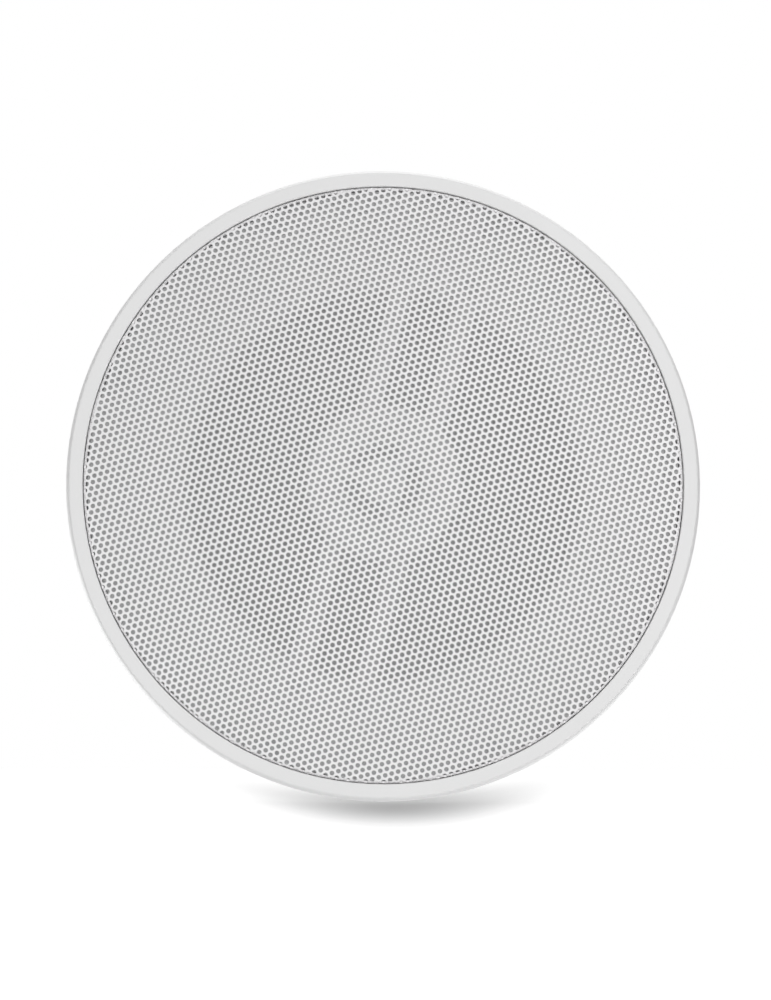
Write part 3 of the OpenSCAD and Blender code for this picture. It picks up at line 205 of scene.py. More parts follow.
class SheetForm:
    """The pressed sheet: how a distance along the flat blank lands on the dome, fold and edge."""

    def __init__(self, sizes):
        edge, self.fold = SHEET_HIGH.x, sizes.fold
        self.ball = (edge**2 + sizes.rise**2) / (2 * sizes.rise)
        self.centre = SHEET_LOW.z + self.ball
        self.lean = math.asin((edge - self.fold) / (self.ball - self.fold))
        self.dome_s = self.ball * self.lean
        self.fold_s = self.dome_s + self.fold * (math.pi / 2 - self.lean)
        self.fold_r = edge - self.fold
        self.fold_z = self.centre - (self.ball - self.fold) * math.cos(self.lean)
        self.full_s = self.fold_s + SHEET_HIGH.z - self.fold_z

    def place(self, flat, depth):
        """Points of the sheet for flat points, depth under its outer skin."""
        s = np.hypot(flat[:, 0], flat[:, 1])
        lean = np.where(
            s < self.dome_s,
            s / self.ball,
            np.minimum(self.lean + (s - self.dome_s) / self.fold, math.pi / 2),
        )
        out, down = np.sin(lean), -np.cos(lean)
        on_dome = s < self.dome_s
        r = np.where(on_dome, (self.ball - depth) * out, self.fold_r + (self.fold - depth) * out)
        z = np.where(
            on_dome,
            self.centre + (self.ball - depth) * down,
            self.fold_z + (self.fold - depth) * down + np.maximum(s - self.fold_s, 0),
        )
        way = flat / np.maximum(s, 1e-9)[:, None]
        return np.column_stack([way * r[:, None], z])


def hole_centres(sizes, form):
    """Flat places of all holes that clear the cut edge, as an array of (x, y)."""
    row_step = sizes.pitch * math.sin(math.pi / 3)
    rows = int(form.full_s / row_step) + 1
    row, col = np.meshgrid(
        np.arange(-rows, rows + 1), np.arange(-2 * rows, 2 * rows + 1), indexing="ij"
    )
    grid = np.column_stack([((col + row / 2) * sizes.pitch).ravel(), (row * row_step).ravel()])
    cos, sin = math.cos(sizes.turn), math.sin(sizes.turn)
    # the disc is cut from stock sheet, so no hole need lie at its very middle
    centres = grid @ np.array([[cos, sin], [-sin, cos]]) + np.array(sizes.shift)
    reach = form.full_s - sizes.hole / 2 - sizes.bare
    return centres[np.hypot(centres[:, 0], centres[:, 1]) < reach]


def ring_of(radius, count):
    """That many even points of a flat circle."""
    angle = np.linspace(0, 2 * math.pi, count, endpoint=False)
    return radius * np.column_stack([np.cos(angle), np.sin(angle)])


def perforated_blank(sizes, form):
    """Flat triangulation of the blank in metres: its points and its triangles."""
    fold_rings, fold_step, clear_of_hole, rim_points, parts = 5, 0.9 * MM, 0.12 * MM, 480, 8
    centres = hole_centres(sizes, form)
    angle = sizes.turn + (np.arange(sizes.sides) + 0.5) * 2 * math.pi / sizes.sides
    outline = sizes.hole / 2 * np.column_stack([np.cos(angle), np.sin(angle)])
    points = (centres[:, None] + outline[None]).reshape(-1, 2)
    hole = np.repeat(np.arange(len(centres)), sizes.sides)
    first = np.arange(len(points)).reshape(-1, sizes.sides)
    edges = np.stack([first, np.roll(first, -1, axis=1)], axis=2).reshape(-1, 2)
    # extra points keep the fold round between the holes, and the rim of the blank closes it
    extra = []
    for s in np.linspace(form.dome_s, form.fold_s, fold_rings):
        ring = ring_of(s, int(2 * math.pi * s / fold_step))
        away = [
            np.hypot(*(part[:, None] - centres[None]).transpose(2, 0, 1)).min(1)
            for part in np.array_split(ring, parts)
        ]
        extra.append(ring[np.concatenate(away) > sizes.hole / 2 + clear_of_hole])
    extra.append(ring_of(form.full_s, rim_points))
    extra = np.concatenate(extra)
    points = np.concatenate([points, extra])
    hole = np.concatenate([hole, -1 - np.arange(len(extra))])
    # delaunay works in millimetres, so that its own tolerance is small beside a hole
    flat, _, faces, _, _, _ = delaunay_2d_cdt(
        [Vector(p) for p in points / MM], edges.tolist(), [], 0, 1e-5, True
    )
    if len(flat) != len(points):
        raise RuntimeError("the holes of the grille run into each other")
    owners = hole[np.array(faces)]
    in_hole = (owners[:, 0] == owners[:, 1]) & (owners[:, 1] == owners[:, 2])
    return points, np.array(faces)[~in_hole]


def perforated_bands(sizes, form, bands):
    """The sheet as closed bands across the rows, each small enough to edit by itself."""
    flat, faces = perforated_blank(sizes, form)
    across = flat @ np.array([-math.sin(sizes.turn), math.cos(sizes.turn)])
    middle = across[faces].mean(axis=1)
    cuts = np.quantile(middle, np.linspace(0, 1, bands + 1)[1:-1])
    band_of = np.searchsorted(cuts, middle)
    skins = form.place(flat, 0), form.place(flat, sizes.sheet)
    for band in range(bands):
        own = faces[band_of == band]
        used, local = np.unique(own, return_inverse=True)
        own = local.reshape(-1, 3)
        n = len(used)
        sides = np.concatenate([own[:, [0, 1]], own[:, [1, 2]], own[:, [2, 0]]])
        twin = {tuple(e) for e in sides.tolist()}
        border = [(a, b) for a, b in sides.tolist() if (b, a) not in twin]
        points = np.concatenate([skins[0][used], skins[1][used]])
        shell = own[:, ::-1].tolist() + (own + n).tolist()
        shell += [(a, b, b + n, a + n) for a, b in border]
        yield points, shell


# Making materials


def add_node(tree, kind, sockets=None, links=None, **settings):
    """One node with its settings, its sockets' values and the outputs that feed it."""
    node = tree.nodes.new(kind)
    for key, value in settings.items():
        setattr(node, key, value)
    for key, value in (sockets or {}).items():
        node.inputs[key].default_value = value
    for key, source in (links or {}).items():
        tree.links.new(source, node.inputs[key])
    return node


def new_material(name, **sockets):
    """A named material with one Principled shader. Its even values sit on the shader's own sockets,
    named with underscores for spaces."""
    material = bpy.data.materials.new(name)
    material.use_nodes = True
    tree = material.node_tree
    tree.nodes.clear()
    values = {key.replace("_", " "): value for key, value in sockets.items()}
    shader = add_node(tree, "ShaderNodeBsdfPrincipled", values)
    add_node(tree, "ShaderNodeOutputMaterial", links={"Surface": shader.outputs[0]})
    where = add_node(tree, "ShaderNodeTexCoord").outputs["Object"]
    return material, tree, shader, where


def per_mm(size):
    """Texture scale at which one cell is that many millimetres wide."""
    return 1 / (size * MM)


def mottle(tree, shader, where, colour, patch, spread):
    """Colour that drifts a little, lighter and darker, over patches of that many millimetres."""
    cloud = add_node(
        tree, "ShaderNodeTexNoise", {"Scale": per_mm(patch), "Detail": 3.0}, {"Vector": where}
    )
    light = [min(1, c * (1 + spread)) for c in colour]
    dark = [c * (1 - spread) for c in colour]
    ramp = add_node(tree, "ShaderNodeValToRGB", links={"Fac": cloud.outputs[0]})
    for stop, position, tone in zip(ramp.color_ramp.elements, (0.3, 0.7), (dark, light)):
        stop.position, stop.color = position, (*tone, 1)
    tree.links.new(ramp.outputs[0], shader.inputs["Base Color"])
    return ramp


def grain(tree, shader, height, depth):
    """Relief that many millimetres deep from a height from 0 to 1."""
    bump = add_node(
        tree, "ShaderNodeBump", {"Distance": depth * MM, "Strength": 1.0}, {"Height": height}
    )
    tree.links.new(bump.outputs[0], shader.inputs["Normal"])


def moulded_abs(name, colour, texture, depth, rough):
    """ABS, moulded in a spark-eroded tool: a fine even matt texture with a soft sheen."""
    material, tree, shader, where = new_material(name, Roughness=rough, IOR=1.54)
    mottle(tree, shader, where, colour, patch=45, spread=0.012)
    pits = add_node(
        tree, "ShaderNodeTexNoise", {"Scale": per_mm(texture), "Detail": 4.0, "Roughness": 0.6},
        {"Vector": where},
    )
    grain(tree, shader, pits.outputs[0], depth)
    return material


def powder_coated_steel(name, colour):
    """Steel under a baked white powder coat: a soft gloss with a faint orange peel."""
    material, tree, shader, where = new_material(name, Roughness=0.42, IOR=1.5)
    mottle(tree, shader, where, colour, patch=30, spread=0.01)
    peel = add_node(
        tree, "ShaderNodeTexNoise", {"Scale": per_mm(1.1), "Detail": 2.0}, {"Vector": where}
    )
    grain(tree, shader, peel.outputs[0], depth=0.02)
    return material


def woven(tree, where, thread, turn=0.0):
    """Height of a plain weave with threads that many millimetres apart, laid in X and Y."""
    laid = add_node(tree, "ShaderNodeMapping", {"Rotation": (0, 0, turn)}, {"Vector": where})
    ways = [
        add_node(
            tree, "ShaderNodeTexWave",
            {"Scale": per_mm(thread) / 2, "Distortion": 0.4, "Detail Scale": 2.0},
            {"Vector": laid.outputs[0]}, bands_direction=way,
        ).outputs["Fac"]
        for way in ("X", "Y")
    ]
    both = add_node(tree, "ShaderNodeMath", operation="MAXIMUM")
    for i, way in enumerate(ways):
        tree.links.new(way, both.inputs[i])
    return both.outputs[0]


def woven_polyester(name, colour, openness, haze):
    """Polyester cloth, woven open so that sound and a little light pass between its threads.
    The threads are drawn 0.8 mm apart, coarser than the real ones, so that they show."""
    material, tree, shader, where = new_material(
        name, Roughness=0.9, IOR=1.45, Sheen_Weight=0.25, Sheen_Roughness=0.5, Transmission_Weight=haze
    )
    mottle(tree, shader, where, colour, patch=6, spread=0.03)
    weave = woven(tree, where, thread=0.8, turn=math.radians(45))
    grain(tree, shader, weave, depth=0.1)
    # light crosses the front and the back of the cloth, so each side lets the root of it pass,
    # a fifth more between the threads and a fifth less on them
    passed, contrast = math.sqrt(openness), 0.2
    thin = max(0, 1 - (1 + contrast) * passed)
    thick = min(1, 1 - (1 - contrast) * passed)
    cover = add_node(tree, "ShaderNodeMapRange", {"To Min": thin, "To Max": thick}, {"Value": weave})
    tree.links.new(cover.outputs[0], shader.inputs["Alpha"])
    return material


def black_rubber(name, colour):
    """Moulded nitrile rubber: deep black with a dull bloom."""
    material, tree, shader, where = new_material(name, Roughness=0.55, IOR=1.52)
    mottle(tree, shader, where, colour, patch=12, spread=0.18)
    skin = add_node(
        tree, "ShaderNodeTexNoise", {"Scale": per_mm(0.7), "Detail": 3.0}, {"Vector": where}
    )
    grain(tree, shader, skin.outputs[0], depth=0.03)
    return material


def foam(name, colour):
    """Closed-cell foam strip: matt, with small burst cells in its cut faces."""
    material, tree, shader, where = new_material(name, Roughness=0.95, IOR=1.4)
    mottle(tree, shader, where, colour, patch=4, spread=0.25)
    cells = add_node(tree, "ShaderNodeTexVoronoi", {"Scale": per_mm(0.6)}, {"Vector": where})
    grain(tree, shader, cells.outputs["Distance"], depth=0.2)
    return material


def lacquered_steel(name, colour):
    """Pressed steel, dipped in black lacquer: a low gloss over slightly uneven metal."""
    material, tree, shader, where = new_material(name, Roughness=0.38, IOR=1.5, Coat_Weight=0.3)
    mottle(tree, shader, where, colour, patch=18, spread=0.15)
    runs = add_node(
        tree, "ShaderNodeTexNoise", {"Scale": per_mm(5), "Detail": 4.0}, {"Vector": where}
    )
    grain(tree, shader, runs.outputs[0], depth=0.05)
    return material


def pressed_pulp(name, colour):
    """Paper pulp, felted and pressed: dull, with short fibres lying every way."""
    material, tree, shader, where = new_material(name, Roughness=0.85, IOR=1.45)
    mottle(tree, shader, where, colour, patch=3, spread=0.22)
    fibre = add_node(
        tree, "ShaderNodeTexNoise", {"Scale": per_mm(0.9), "Detail": 5.0, "Distortion": 3.0},
        {"Vector": where},
    )
    grain(tree, shader, fibre.outputs[0], depth=0.12)
    return material


def dipped_cloth(name, colour, thread, rough):
    """Cotton or silk dipped in resin: the weave stays, stiff and a little shiny."""
    material, tree, shader, where = new_material(name, Roughness=rough, IOR=1.5)
    mottle(tree, shader, where, colour, patch=5, spread=0.1)
    grain(tree, shader, woven(tree, where, thread), depth=0.12)
    return material


def wound_copper(name, colour, wire):
    """Enamelled copper wire, wound in layers: round ridges one wire apart, under clear lacquer."""
    material, tree, shader, where = new_material(name, Metallic=1.0, Roughness=0.3, Coat_Weight=0.6)
    mottle(tree, shader, where, colour, patch=4, spread=0.08)
    turns = add_node(
        tree, "ShaderNodeTexWave", {"Scale": per_mm(wire) / 2, "Distortion": 0.3}, {"Vector": where},
        bands_direction="Z",
    )
    grain(tree, shader, turns.outputs["Fac"], depth=0.2)
    return material


def zinc_plated_steel(name, colour, drawn):
    """Mild steel under bright zinc: a cold grey metal with faint drawing lines and a patchy gloss."""
    material, tree, shader, where = new_material(name, Metallic=1.0, Roughness=0.34)
    mottle(tree, shader, where, colour, patch=7, spread=0.07)
    stretched = add_node(tree, "ShaderNodeMapping", {"Scale": drawn}, {"Vector": where})
    lines = add_node(
        tree, "ShaderNodeTexNoise", {"Scale": per_mm(0.8), "Detail": 3.0},
        {"Vector": stretched.outputs[0]},
    )
    grain(tree, shader, lines.outputs[0], depth=0.02)
    patches = add_node(
        tree, "ShaderNodeTexNoise", {"Scale": per_mm(4), "Detail": 2.0}, {"Vector": where}
    )
    gloss = add_node(
        tree, "ShaderNodeMapRange", {"To Min": 0.26, "To Max": 0.44}, {"Value": patches.outputs[0]}
    )
    tree.links.new(gloss.outputs[0], shader.inputs["Roughness"])
    return material


def sintered_ferrite(name, colour):
    """Strontium ferrite, sintered and ground: a dark dull ceramic with tiny chips."""
    material, tree, shader, where = new_material(name, Roughness=0.6, IOR=2.3, Specular_IOR_Level=0.3)
    mottle(tree, shader, where, colour, patch=2, spread=0.2)
    chips = add_node(tree, "ShaderNodeTexVoronoi", {"Scale": per_mm(1.2)}, {"Vector": where})
    grain(tree, shader, chips.outputs["Distance"], depth=0.04)
    return material


def glossy_moulding(name, colour, rough, ior):
    """Polyester or epoxy moulded in a smooth tool: an even colour with soft sink marks."""
    material, tree, shader, where = new_material(name, Roughness=rough, IOR=ior)
    mottle(tree, shader, where, colour, patch=6, spread=0.06)
    sink = add_node(tree, "ShaderNodeTexNoise", {"Scale": per_mm(5), "Detail": 2.0}, {"Vector": where})
    grain(tree, shader, sink.outputs[0], depth=0.05)
    return material


def stacked_iron(name, colour):
    """Silicon steel sheets, stacked and varnished: fine dark lines where sheet meets sheet."""
    material, tree, shader, where = new_material(name, Metallic=0.8, Roughness=0.45, Coat_Weight=0.3)
    stack = add_node(
        tree, "ShaderNodeTexWave", {"Scale": per_mm(0.5) / 2, "Distortion": 0.2}, {"Vector": where},
        bands_direction="Y",
    )
    ramp = mottle(tree, shader, where, colour, patch=3, spread=0.3)
    tree.links.new(stack.outputs["Fac"], ramp.inputs["Fac"])
    grain(tree, shader, stack.outputs["Fac"], depth=0.05)
    return material


def solder_mask(name, colour):
    """Glass-epoxy board under green solder mask: copper tracks show lighter through it."""
    material, tree, shader, where = new_material(name, Roughness=0.3, IOR=1.5)
    tracks = add_node(
        tree, "ShaderNodeTexBrick",
        {"Scale": per_mm(40), "Mortar Size": 0.02, "Brick Width": 0.3, "Row Height": 0.09,
         "Color1": (*colour, 1), "Color2": (*[c * 0.86 for c in colour], 1),
         "Mortar": (*[min(1, c * 1.9 + 0.01) for c in colour], 1)},
        {"Vector": where},
    )
    tree.links.new(tracks.outputs["Color"], shader.inputs["Base Color"])
    grain(tree, shader, tracks.outputs["Fac"], depth=0.035)
    return material


def cement(name, colour):
    """Cement-filled ceramic case: chalky, with pores."""
    material, tree, shader, where = new_material(name, Roughness=0.85, IOR=1.5)
    mottle(tree, shader, where, colour, patch=2.5, spread=0.08)
    pores = add_node(tree, "ShaderNodeTexVoronoi", {"Scale": per_mm(1.4)}, {"Vector": where})
    grain(tree, shader, pores.outputs["Distance"], depth=0.1)
    return material


def carded_fibre(name, colour):
    """Polyester fibre, carded into wadding: white, dull and tangled."""
    material, tree, shader, where = new_material(name, Roughness=1.0, IOR=1.3, Sheen_Weight=0.6)
    mottle(tree, shader, where, colour, patch=8, spread=0.06)
    tangle = add_node(
        tree, "ShaderNodeTexNoise", {"Scale": per_mm(2), "Detail": 6.0, "Distortion": 4.0},
        {"Vector": where},
    )
    grain(tree, shader, tangle.outputs[0], depth=0.9)
    return material


def dress(material, *nodes):
    """Gives CAD nodes one material in every slot that they have."""
    for name in nodes:
        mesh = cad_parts[name].data
        if not mesh.materials:
            mesh.materials.append(material)
        for i in range(len(mesh.materials)):
            mesh.materials[i] = material


# The pieces


class SPEAKER_OT_grille(bpy.types.Operator):
    """Replace the CAD grille by the same pressed sheet with its real fine perforation"""

    bl_idname = "speaker.grille"
    bl_label = "Perforated grille"

    def execute(self, context):
        sizes, colours = context.scene.speaker_grille, context.scene.speaker_colours
        form = SheetForm(sizes)
        coat = powder_coated_steel("Powder-coated steel", colours.coat)
        for i, (points, faces) in enumerate(perforated_bands(sizes, form, bands=3), 1):
            band = link_mesh(f"grille_band_{i}", points, faces, sharp=35)
            band.data.materials.append(coat)
            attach(band, "housing")
            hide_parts("grille")
        return {"FINISHED"}


class SPEAKER_OT_cloth(bpy.types.Operator):
    """Stretch the open white cloth behind the grille"""

    bl_idname = "speaker.cloth"
    bl_label = "Grille cloth"

    def execute(self, context):
        soft, colours = context.scene.speaker_soft, context.scene.speaker_colours
        edge_gap, skin_gap, rings, segments = 0.2 * MM, 0.03 * MM, 40, 144
        reach, low = CLOTH_HIGH.x - edge_gap, CLOTH_LOW.z
        rise = CLOTH_HIGH.z - low
        ball = (CLOTH_HIGH.x**2 + rise**2) / (2 * rise)
        r = np.linspace(0.05 * MM, reach, rings)
        front = low + ball - np.sqrt(ball**2 - r**2) + skin_gap
        profile = [np.column_stack([r, front]), np.column_stack([r, front + soft.cloth])[::-1]]
        points, faces = lathe(np.concatenate(profile), segments)
        cloth = link_mesh("grille_scrim", points, faces, sharp=40)
        cloth.data.materials.append(
            woven_polyester("Woven polyester", colours.cloth, soft.openness, soft.haze)
        )
        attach(cloth, "housing")
        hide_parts("grille_cloth")
        return {"FINISHED"}


class SPEAKER_OT_wadding(bpy.types.Operator):
    """Lay the soft ring of wadding inside the bell"""

    bl_idname = "speaker.wadding"
    bl_label = "Wadding"

    def execute(self, context):
        soft = context.scene.speaker_soft
        soft_h, soft_r, outer_share, rings, segments = 6 * MM, 5 * MM, 0.3, 15, 160
        fine, fine_share, least_half = 3.1, 0.2, 4 * MM
        co = np.array([v.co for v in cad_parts["wadding"].data.vertices])
        r, z = np.hypot(co[:, 0], co[:, 1]), co[:, 2]
        low, high = z.min(), z.max()
        rows = np.linspace(low, high, rings)
        outer = np.interp(rows, *self.outline(z, r, max))
        inner = np.interp(rows, *self.outline(z, r, min))
        from_end = np.minimum(rows - low, high - rows) / soft_h
        round_off = soft_r * (1 - np.clip(from_end, 0, 1)) ** 2
        outside = np.column_stack([outer - round_off * outer_share, rows])
        inside = np.column_stack([inner + round_off, rows])
        points, faces = lathe(np.concatenate([outside, inside[::-1]]), segments)
        for i, p in enumerate(points):
            here = Vector(p) / soft.tuft
            lump = 0.5 + 0.5 * noise.noise(here) + fine_share * noise.noise(here * fine)
            mid = np.interp(p[2], rows, (outer + inner) / 2)
            reach = math.hypot(p[0], p[1])
            share = np.clip(lump, 0, 1) * soft.hollow / max(abs(reach - mid), least_half)
            scale = 1 - share * (reach - mid) / reach
            points[i] = (p[0] * scale, p[1] * scale, p[2])
        ring = link_mesh("wadding_ring", points, faces)
        ring.data.materials.append(carded_fibre("Carded polyester fibre", hex_colour("EDEDE8")))
        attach(ring, "housing")
        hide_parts("wadding")
        return {"FINISHED"}

    @staticmethod
    def outline(z, r, pick):
        """Heights and the outer or inner radius of the CAD ring at each of them."""
        heights = np.unique(np.round(z, 5))
        return heights, np.array([pick(r[abs(z - h) < 2e-5]) for h in heights])


class SPEAKER_OT_housing(bpy.types.Operator):
    """Finish the bell, the cap, the baffle and their seals"""

    bl_idname = "speaker.housing"
    bl_label = "Housing"

    def execute(self, context):
        colours = context.scene.speaker_colours
        dress(
            moulded_abs("Moulded ABS", colours.shell, texture=0.5, depth=0.035, rough=0.5),
            "enclosure", "terminal_cap",
        )
        dress(
            moulded_abs("Moulded ABS, smooth", colours.shell, texture=1.5, depth=0.015, rough=0.42),
            "baffle", "tweeter_housing",
        )
        dress(foam("Closed-cell foam", hex_colour("262627")), "baffle_gasket", "frame_gasket")
        return {"FINISHED"}


class SPEAKER_OT_woofer(bpy.types.Operator):
    """Finish the woofer from its cone to its magnet"""

    bl_idname = "speaker.woofer"
    bl_label = "Woofer"

    def execute(self, context):
        colours = context.scene.speaker_colours
        dress(lacquered_steel("Black lacquered steel", hex_colour("242426")), "woofer_frame")
        dress(black_rubber("Nitrile rubber", colours.rubber), "surround", "gland_seal")
        dress(pressed_pulp("Pressed pulp", colours.pulp), "cone", "dust_cap")
        dress(dipped_cloth("Resin-dipped cotton", hex_colour("B08648"), thread=1.1, rough=0.7), "spider")
        dress(dipped_cloth("Kraft former", hex_colour("B9905C"), thread=2.0, rough=0.6), "coil_former")
        dress(
            wound_copper("Enamelled copper", hex_colour("C77B45"), wire=0.35),
            "voice_coil", "tweeter_coil",
        )
        dress(wound_copper("Enamelled copper, thick", hex_colour("C4763F"), wire=1.0), "choke")
        dress(sintered_ferrite("Sintered ferrite", hex_colour("303032")), "ring_magnet")
        return {"FINISHED"}


class SPEAKER_OT_tweeter(bpy.types.Operator):
    """Finish the tweeter in the middle of the woofer and the bridge that carries it"""

    bl_idname = "speaker.tweeter"
    bl_label = "Tweeter"

    def execute(self, context):
        colours = context.scene.speaker_colours
        dress(powder_coated_steel("Powder-coated bridge", colours.coat), "tweeter_bridge")
        dress(
            dipped_cloth("Coated silk", hex_colour("3A3A3D"), thread=0.8, rough=0.5),
            "tweeter_dome", "tweeter_surround",
        )
        dress(
            moulded_abs("Black ABS", hex_colour("1D1D1E"), texture=0.6, depth=0.03, rough=0.5),
            "tweeter_chassis", "tap_switch", "tap_knob",
        )
        dress(
            zinc_plated_steel("Nickel-plated magnet", hex_colour("C9C5BC"), drawn=(1, 1, 1)),
            "tweeter_magnet",
        )
        return {"FINISHED"}


class SPEAKER_OT_metalwork(bpy.types.Operator):
    """Finish the hanger, the plates and every screw, bolt and nut"""

    bl_idname = "speaker.metalwork"
    bl_label = "Metalwork"

    def execute(self, context):
        zinc = context.scene.speaker_colours.zinc
        dress(
            zinc_plated_steel("Zinc-plated sheet", zinc, drawn=(0.15, 1, 1)),
            "hanger", "backing_plate", "transformer_strap",
        )
        dress(
            zinc_plated_steel("Zinc-plated turned steel", zinc, drawn=(1, 1, 0.2)),
            "top_plate", "pole_yoke", "tweeter_plate", "tweeter_pot", "tap_spindle",
        )
        dress(
            zinc_plated_steel("Zinc-plated screws", zinc, drawn=(1, 1, 1)),
            "baffle_screws", "frame_screws", "bridge_screws", "housing_screws", "cap_screws",
            "hanger_bolts", "hanger_nuts", "clamp_screws", "strap_screws", "board_screws",
        )
        return {"FINISHED"}


class SPEAKER_OT_electrics(bpy.types.Operator):
    """Finish the gland, the terminals, the transformer and the crossover"""

    bl_idname = "speaker.electrics"
    bl_label = "Electrics"

    def execute(self, context):
        colours = context.scene.speaker_colours
        dress(
            moulded_abs("Moulded nylon", colours.nylon, texture=1.0, depth=0.02, rough=0.4),
            "gland_body", "gland_nut", "gland_locknut",
        )
        dress(
            glossy_moulding("Green polyester", hex_colour("2E7D46"), rough=0.35, ior=1.57),
            "terminal_header", "terminal_plug",
        )
        dress(stacked_iron("Varnished iron sheets", hex_colour("6E6A66")), "transformer_core")
        dress(
            glossy_moulding("Polyester tape", hex_colour("D9B63A"), rough=0.3, ior=1.6),
            "transformer_winding",
        )
        dress(solder_mask("Solder mask", colours.board), "crossover_board")
        dress(glossy_moulding("Epoxy case", hex_colour("9C2F27"), rough=0.25, ior=1.56), "capacitors")
        dress(cement("Cement", hex_colour("D9D6CC")), "resistor")
        return {"FINISHED"}


# The studio


def lamp(name, place, target, size, power):
    """A square soft white lamp that faces a point."""
    light = bpy.data.lights.new(name, "AREA")
    light.shape, light.size, light.energy = "SQUARE", size, power
    made = bpy.data.objects.new(name, light)
    made.location = place
    made.rotation_euler = (Vector(target) - Vector(place)).to_track_quat("-Z", "Y").to_euler()
    bpy.context.scene.collection.objects.link(made)


def stage_sheet(name, points, faces, painted_shade_map, pale, glow):
    """A pale sheet that only the camera sees, from its front. Its glow keeps it white, and the
    light that it catches carries the object's shadow. Its glow also dims inside the unit circle of
    the painted shade map, most at its middle: a painted contact shadow where the object nearly touches."""
    # share of the glow left at the middle of the painted contact shadow
    least_share = 0.2
    sheet = link_mesh(name, points, faces)
    corners = np.array([loop.vertex_index for loop in sheet.data.loops])
    sheet.data.uv_layers.new(name="Nearness").data.foreach_set("uv", painted_shade_map[corners].ravel())
    material = bpy.data.materials.new(name)
    material.use_nodes = True
    tree = material.node_tree
    tree.nodes.clear()
    where = add_node(tree, "ShaderNodeTexCoord").outputs["UV"]
    near = add_node(tree, "ShaderNodeTexGradient", links={"Vector": where}, gradient_type="SPHERICAL")
    # the glow sinks towards its least share at the map's middle, which paints the contact shadow
    dim = add_node(
        tree, "ShaderNodeMapRange", {"To Min": glow, "To Max": least_share * glow},
        {"Value": near.outputs["Fac"]}, interpolation_type="SMOOTHSTEP",
    )
    shine = add_node(tree, "ShaderNodeEmission", links={"Strength": dim.outputs[0]})
    paint = add_node(tree, "ShaderNodeBsdfDiffuse", {"Color": (pale, pale, pale, 1)})
    front = add_node(tree, "ShaderNodeAddShader", links={0: paint.outputs[0], 1: shine.outputs[0]})
    back = add_node(tree, "ShaderNodeBsdfTransparent")
    side = add_node(tree, "ShaderNodeNewGeometry").outputs["Backfacing"]
    both = add_node(
        tree, "ShaderNodeMixShader", links={0: side, 1: front.outputs[0], 2: back.outputs[0]}
    )
    add_node(tree, "ShaderNodeOutputMaterial", links={"Surface": both.outputs[0]})
    sheet.data.materials.append(material)
    sheet.visible_diffuse = sheet.visible_glossy = sheet.visible_transmission = False
    sheet.visible_shadow = sheet.visible_volume_scatter = False


def floor(level):
    """Floor for the views from above. Its glow dims softly round the place under the object, a painted
    contact shadow.
    """
    # the glow dims within this reach of the middle, which paints a contact shadow
    half, painted_shade_reach = 6, 230 * MM
    sides = np.array([(-1, -1), (1, -1), (1, 1), (-1, 1)]) * half
    corners = np.column_stack([sides, np.full(len(sides), level)])
    stage_sheet("Floor", corners, [(0, 1, 2, 3)], sides / painted_shade_reach, pale=0.5, glow=0.8)


def shadow_sheet(edge_y, edge_z):
    """Sheet that leans away behind the rim's edge and shows the shadow under it: the lamps' real shadow,
    deepened by a painted contact shadow where its glow dims.
    Over the floor's level it is only as wide as that shadow, so that it stays behind the bell."""
    slope = math.radians(13)
    # millimetres across the sheet and along it, in even cells with larger ones at the far ends
    cell, narrow, wide, start, fine_end, end = 10, 150, 900, -60, 100, 350
    # the middle of the painted contact shadow, how it bends up with the round rim to either side, and
    # how far it reaches
    dim_x, dim_s, bend, reach_x, reach_s = 4 * MM, 10 * MM, 95 * MM, 76 * MM, 46 * MM
    across = np.concatenate([[-wide], np.arange(-narrow, narrow + 1, cell), [wide]])
    along = np.append(np.arange(start, fine_end + 1, cell), end)
    x, s = (way.ravel() * MM for way in np.meshgrid(across, along))
    points = np.column_stack([x, edge_y + s * math.sin(slope), edge_z - s * math.cos(slope)])
    n = len(across)
    quads = []
    for j, from_edge in enumerate(along[:-1]):
        left_out = 1 if from_edge < 0 else 0
        for i in range(left_out, n - 1 - left_out):
            quads.append((i + j * n, i + (j + 1) * n, i + 1 + (j + 1) * n, i + 1 + j * n))
    aside = x - dim_x
    bent = s - dim_s + aside**2 / bend
    painted_shade_map = np.column_stack([aside / reach_x, bent / reach_s])
    stage_sheet("Shadow sheet", points, quads, painted_shade_map, pale=0.4, glow=0.8)


def pale_world(sky):
    """White to the camera and in reflections, and a weaker even white light on the object."""
    world = bpy.data.worlds.new("Pale studio")
    bpy.context.scene.world = world
    world.use_nodes = True
    tree = world.node_tree
    tree.nodes.clear()
    ray = add_node(tree, "ShaderNodeLightPath")
    seen = ray.outputs["Is Camera Ray"]
    for kind in ("Is Glossy Ray", "Is Transmission Ray"):
        seen = add_node(
            tree, "ShaderNodeMath", links={0: seen, 1: ray.outputs[kind]}, operation="MAXIMUM"
        ).outputs[0]
    white = add_node(tree, "ShaderNodeBackground", {"Color": (1, 1, 1, 1), "Strength": 1.0})
    even = add_node(tree, "ShaderNodeBackground", {"Color": (1, 1, 1, 1), "Strength": sky})
    both = add_node(
        tree, "ShaderNodeMixShader", links={0: seen, 1: even.outputs[0], 2: white.outputs[0]}
    )
    add_node(tree, "ShaderNodeOutputWorld", links={"Surface": both.outputs[0]})


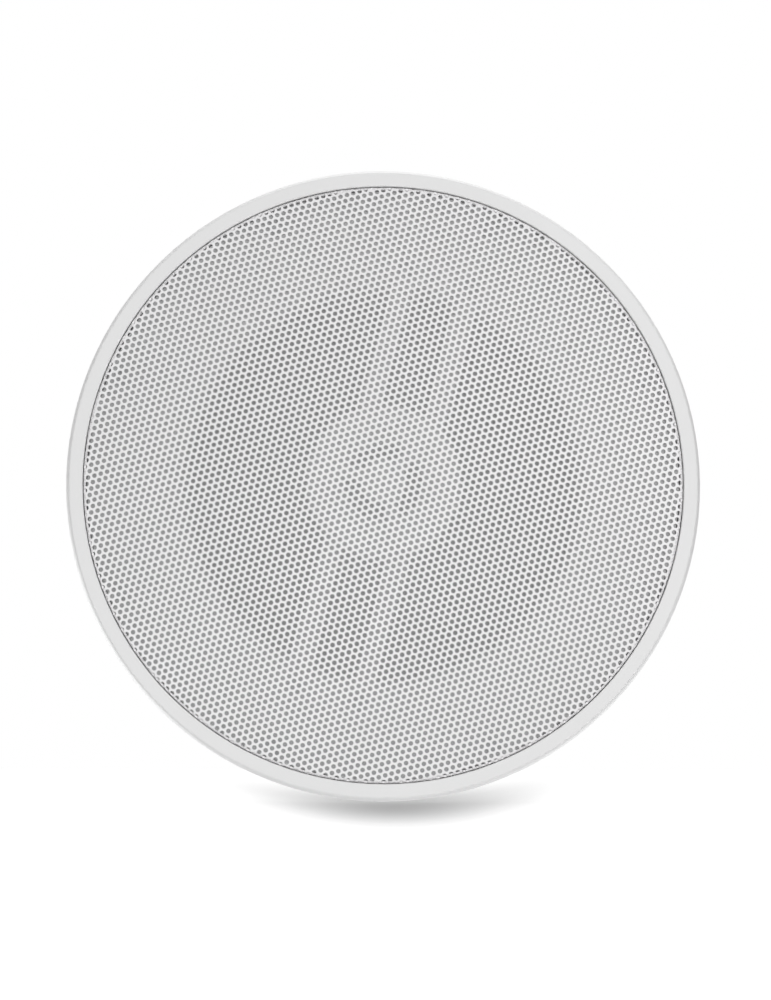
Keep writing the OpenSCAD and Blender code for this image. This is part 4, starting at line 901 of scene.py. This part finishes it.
class SPEAKER_OT_studio(bpy.types.Operator):
    """Set up the pale studio: camera, lamps, world and floor"""

    bl_idname = "speaker.studio"
    bl_label = "Studio"

    def execute(self, context):
        scene, studio = context.scene, context.scene.speaker_studio
        scene.view_settings.view_transform = "Standard"
        pale_world(studio.sky)
        # the camera hangs under the speaker, looks up into the grille and has the picture's top at -Y,
        # and it aims a little off the middle of the rim's widest ring, edge_h over its face
        edge_h, aim_x, aim_y = 4.3 * MM, 0.75 * MM, 6.2 * MM
        rim, bell = Vector((0, 0, RIM_LOW.z + edge_h)), Vector((0, 0, -120 * MM))
        back = Vector((-math.sin(studio.swing), math.sin(studio.tilt), 0))
        back.z = -math.sqrt(1 - back.length_squared)
        aim = rim + Vector((aim_x, aim_y, 0))
        right = Vector((0, -1, 0)).cross(back).normalized()
        camera = bpy.data.objects.new("Camera", bpy.data.cameras.new("Camera"))
        camera.data.sensor_width, camera.data.lens = 36, studio.lens
        camera.data.clip_start, camera.data.clip_end = 0.05, 50
        turn = Matrix((right, back.cross(right), back)).transposed().to_4x4()
        camera.matrix_world = Matrix.Translation(aim + back * studio.distance) @ turn
        scene.collection.objects.link(camera)
        scene.camera = camera
        # two broad lamps beside the camera reach into the holes, the others shape the rim and bell
        lamp("Key", (0.6, -0.25, -1.9), rim, size=0.9, power=studio.key)
        lamp("Fill", (-0.5, 0.2, -1.95), rim, size=1.2, power=studio.fill)
        lamp("Overhead", (0.1, -1.7, 0.1), rim, size=1.2, power=studio.overhead)
        lamp("Back", (1.3, 1.2, 1.5), bell, size=1.4, power=studio.back)
        lamp("Side", (-1.6, 0.7, 1.15), bell, size=1.4, power=studio.side)
        lamp("Bounce", (0.2, 1.4, -0.4), rim, size=1.0, power=studio.bounce)
        floor(SHEET_LOW.z - 0.2 * MM)
        shadow_sheet(RIM_HIGH.x + 0.1 * MM, rim.z)
        return {"FINISHED"}


class SPEAKER_PT_panel(bpy.types.Panel):
    """Sizes, colours and steps of the loudspeaker"""

    bl_idname = "SPEAKER_PT_panel"
    bl_label = "Pendant loudspeaker"
    bl_space_type = "VIEW_3D"
    bl_region_type = "UI"
    bl_category = "Speaker"

    def draw(self, context):
        for group in SETTINGS:
            box = self.layout.box()
            values = getattr(context.scene, group)
            for key in values.__annotations__:
                box.prop(values, key)
        for step in STEPS:
            self.layout.operator(step.bl_idname)


SETTINGS = {
    "speaker_grille": SpeakerGrille,
    "speaker_soft": SpeakerSoft,
    "speaker_colours": SpeakerColours,
    "speaker_studio": SpeakerStudio,
}
STEPS = (
    SPEAKER_OT_studio,
    SPEAKER_OT_housing,
    SPEAKER_OT_woofer,
    SPEAKER_OT_tweeter,
    SPEAKER_OT_metalwork,
    SPEAKER_OT_electrics,
    SPEAKER_OT_grille,
    SPEAKER_OT_cloth,
    SPEAKER_OT_wadding,
)


def register():
    for kind in (*SETTINGS.values(), *STEPS, SPEAKER_PT_panel):
        bpy.utils.register_class(kind)
    for name, kind in SETTINGS.items():
        setattr(bpy.types.Scene, name, bpy.props.PointerProperty(type=kind))


def unregister():
    for name in SETTINGS:
        delattr(bpy.types.Scene, name)
    for kind in (SPEAKER_PT_panel, *reversed(STEPS), *reversed(tuple(SETTINGS.values()))):
        bpy.utils.unregister_class(kind)


def main():
    register()
    for step in STEPS:
        group, name = step.bl_idname.split(".")
        if getattr(getattr(bpy.ops, group), name)() != {"FINISHED"}:
            raise RuntimeError(f"{step.bl_label} didn't finish")


if __name__ == "__main__":
    main()
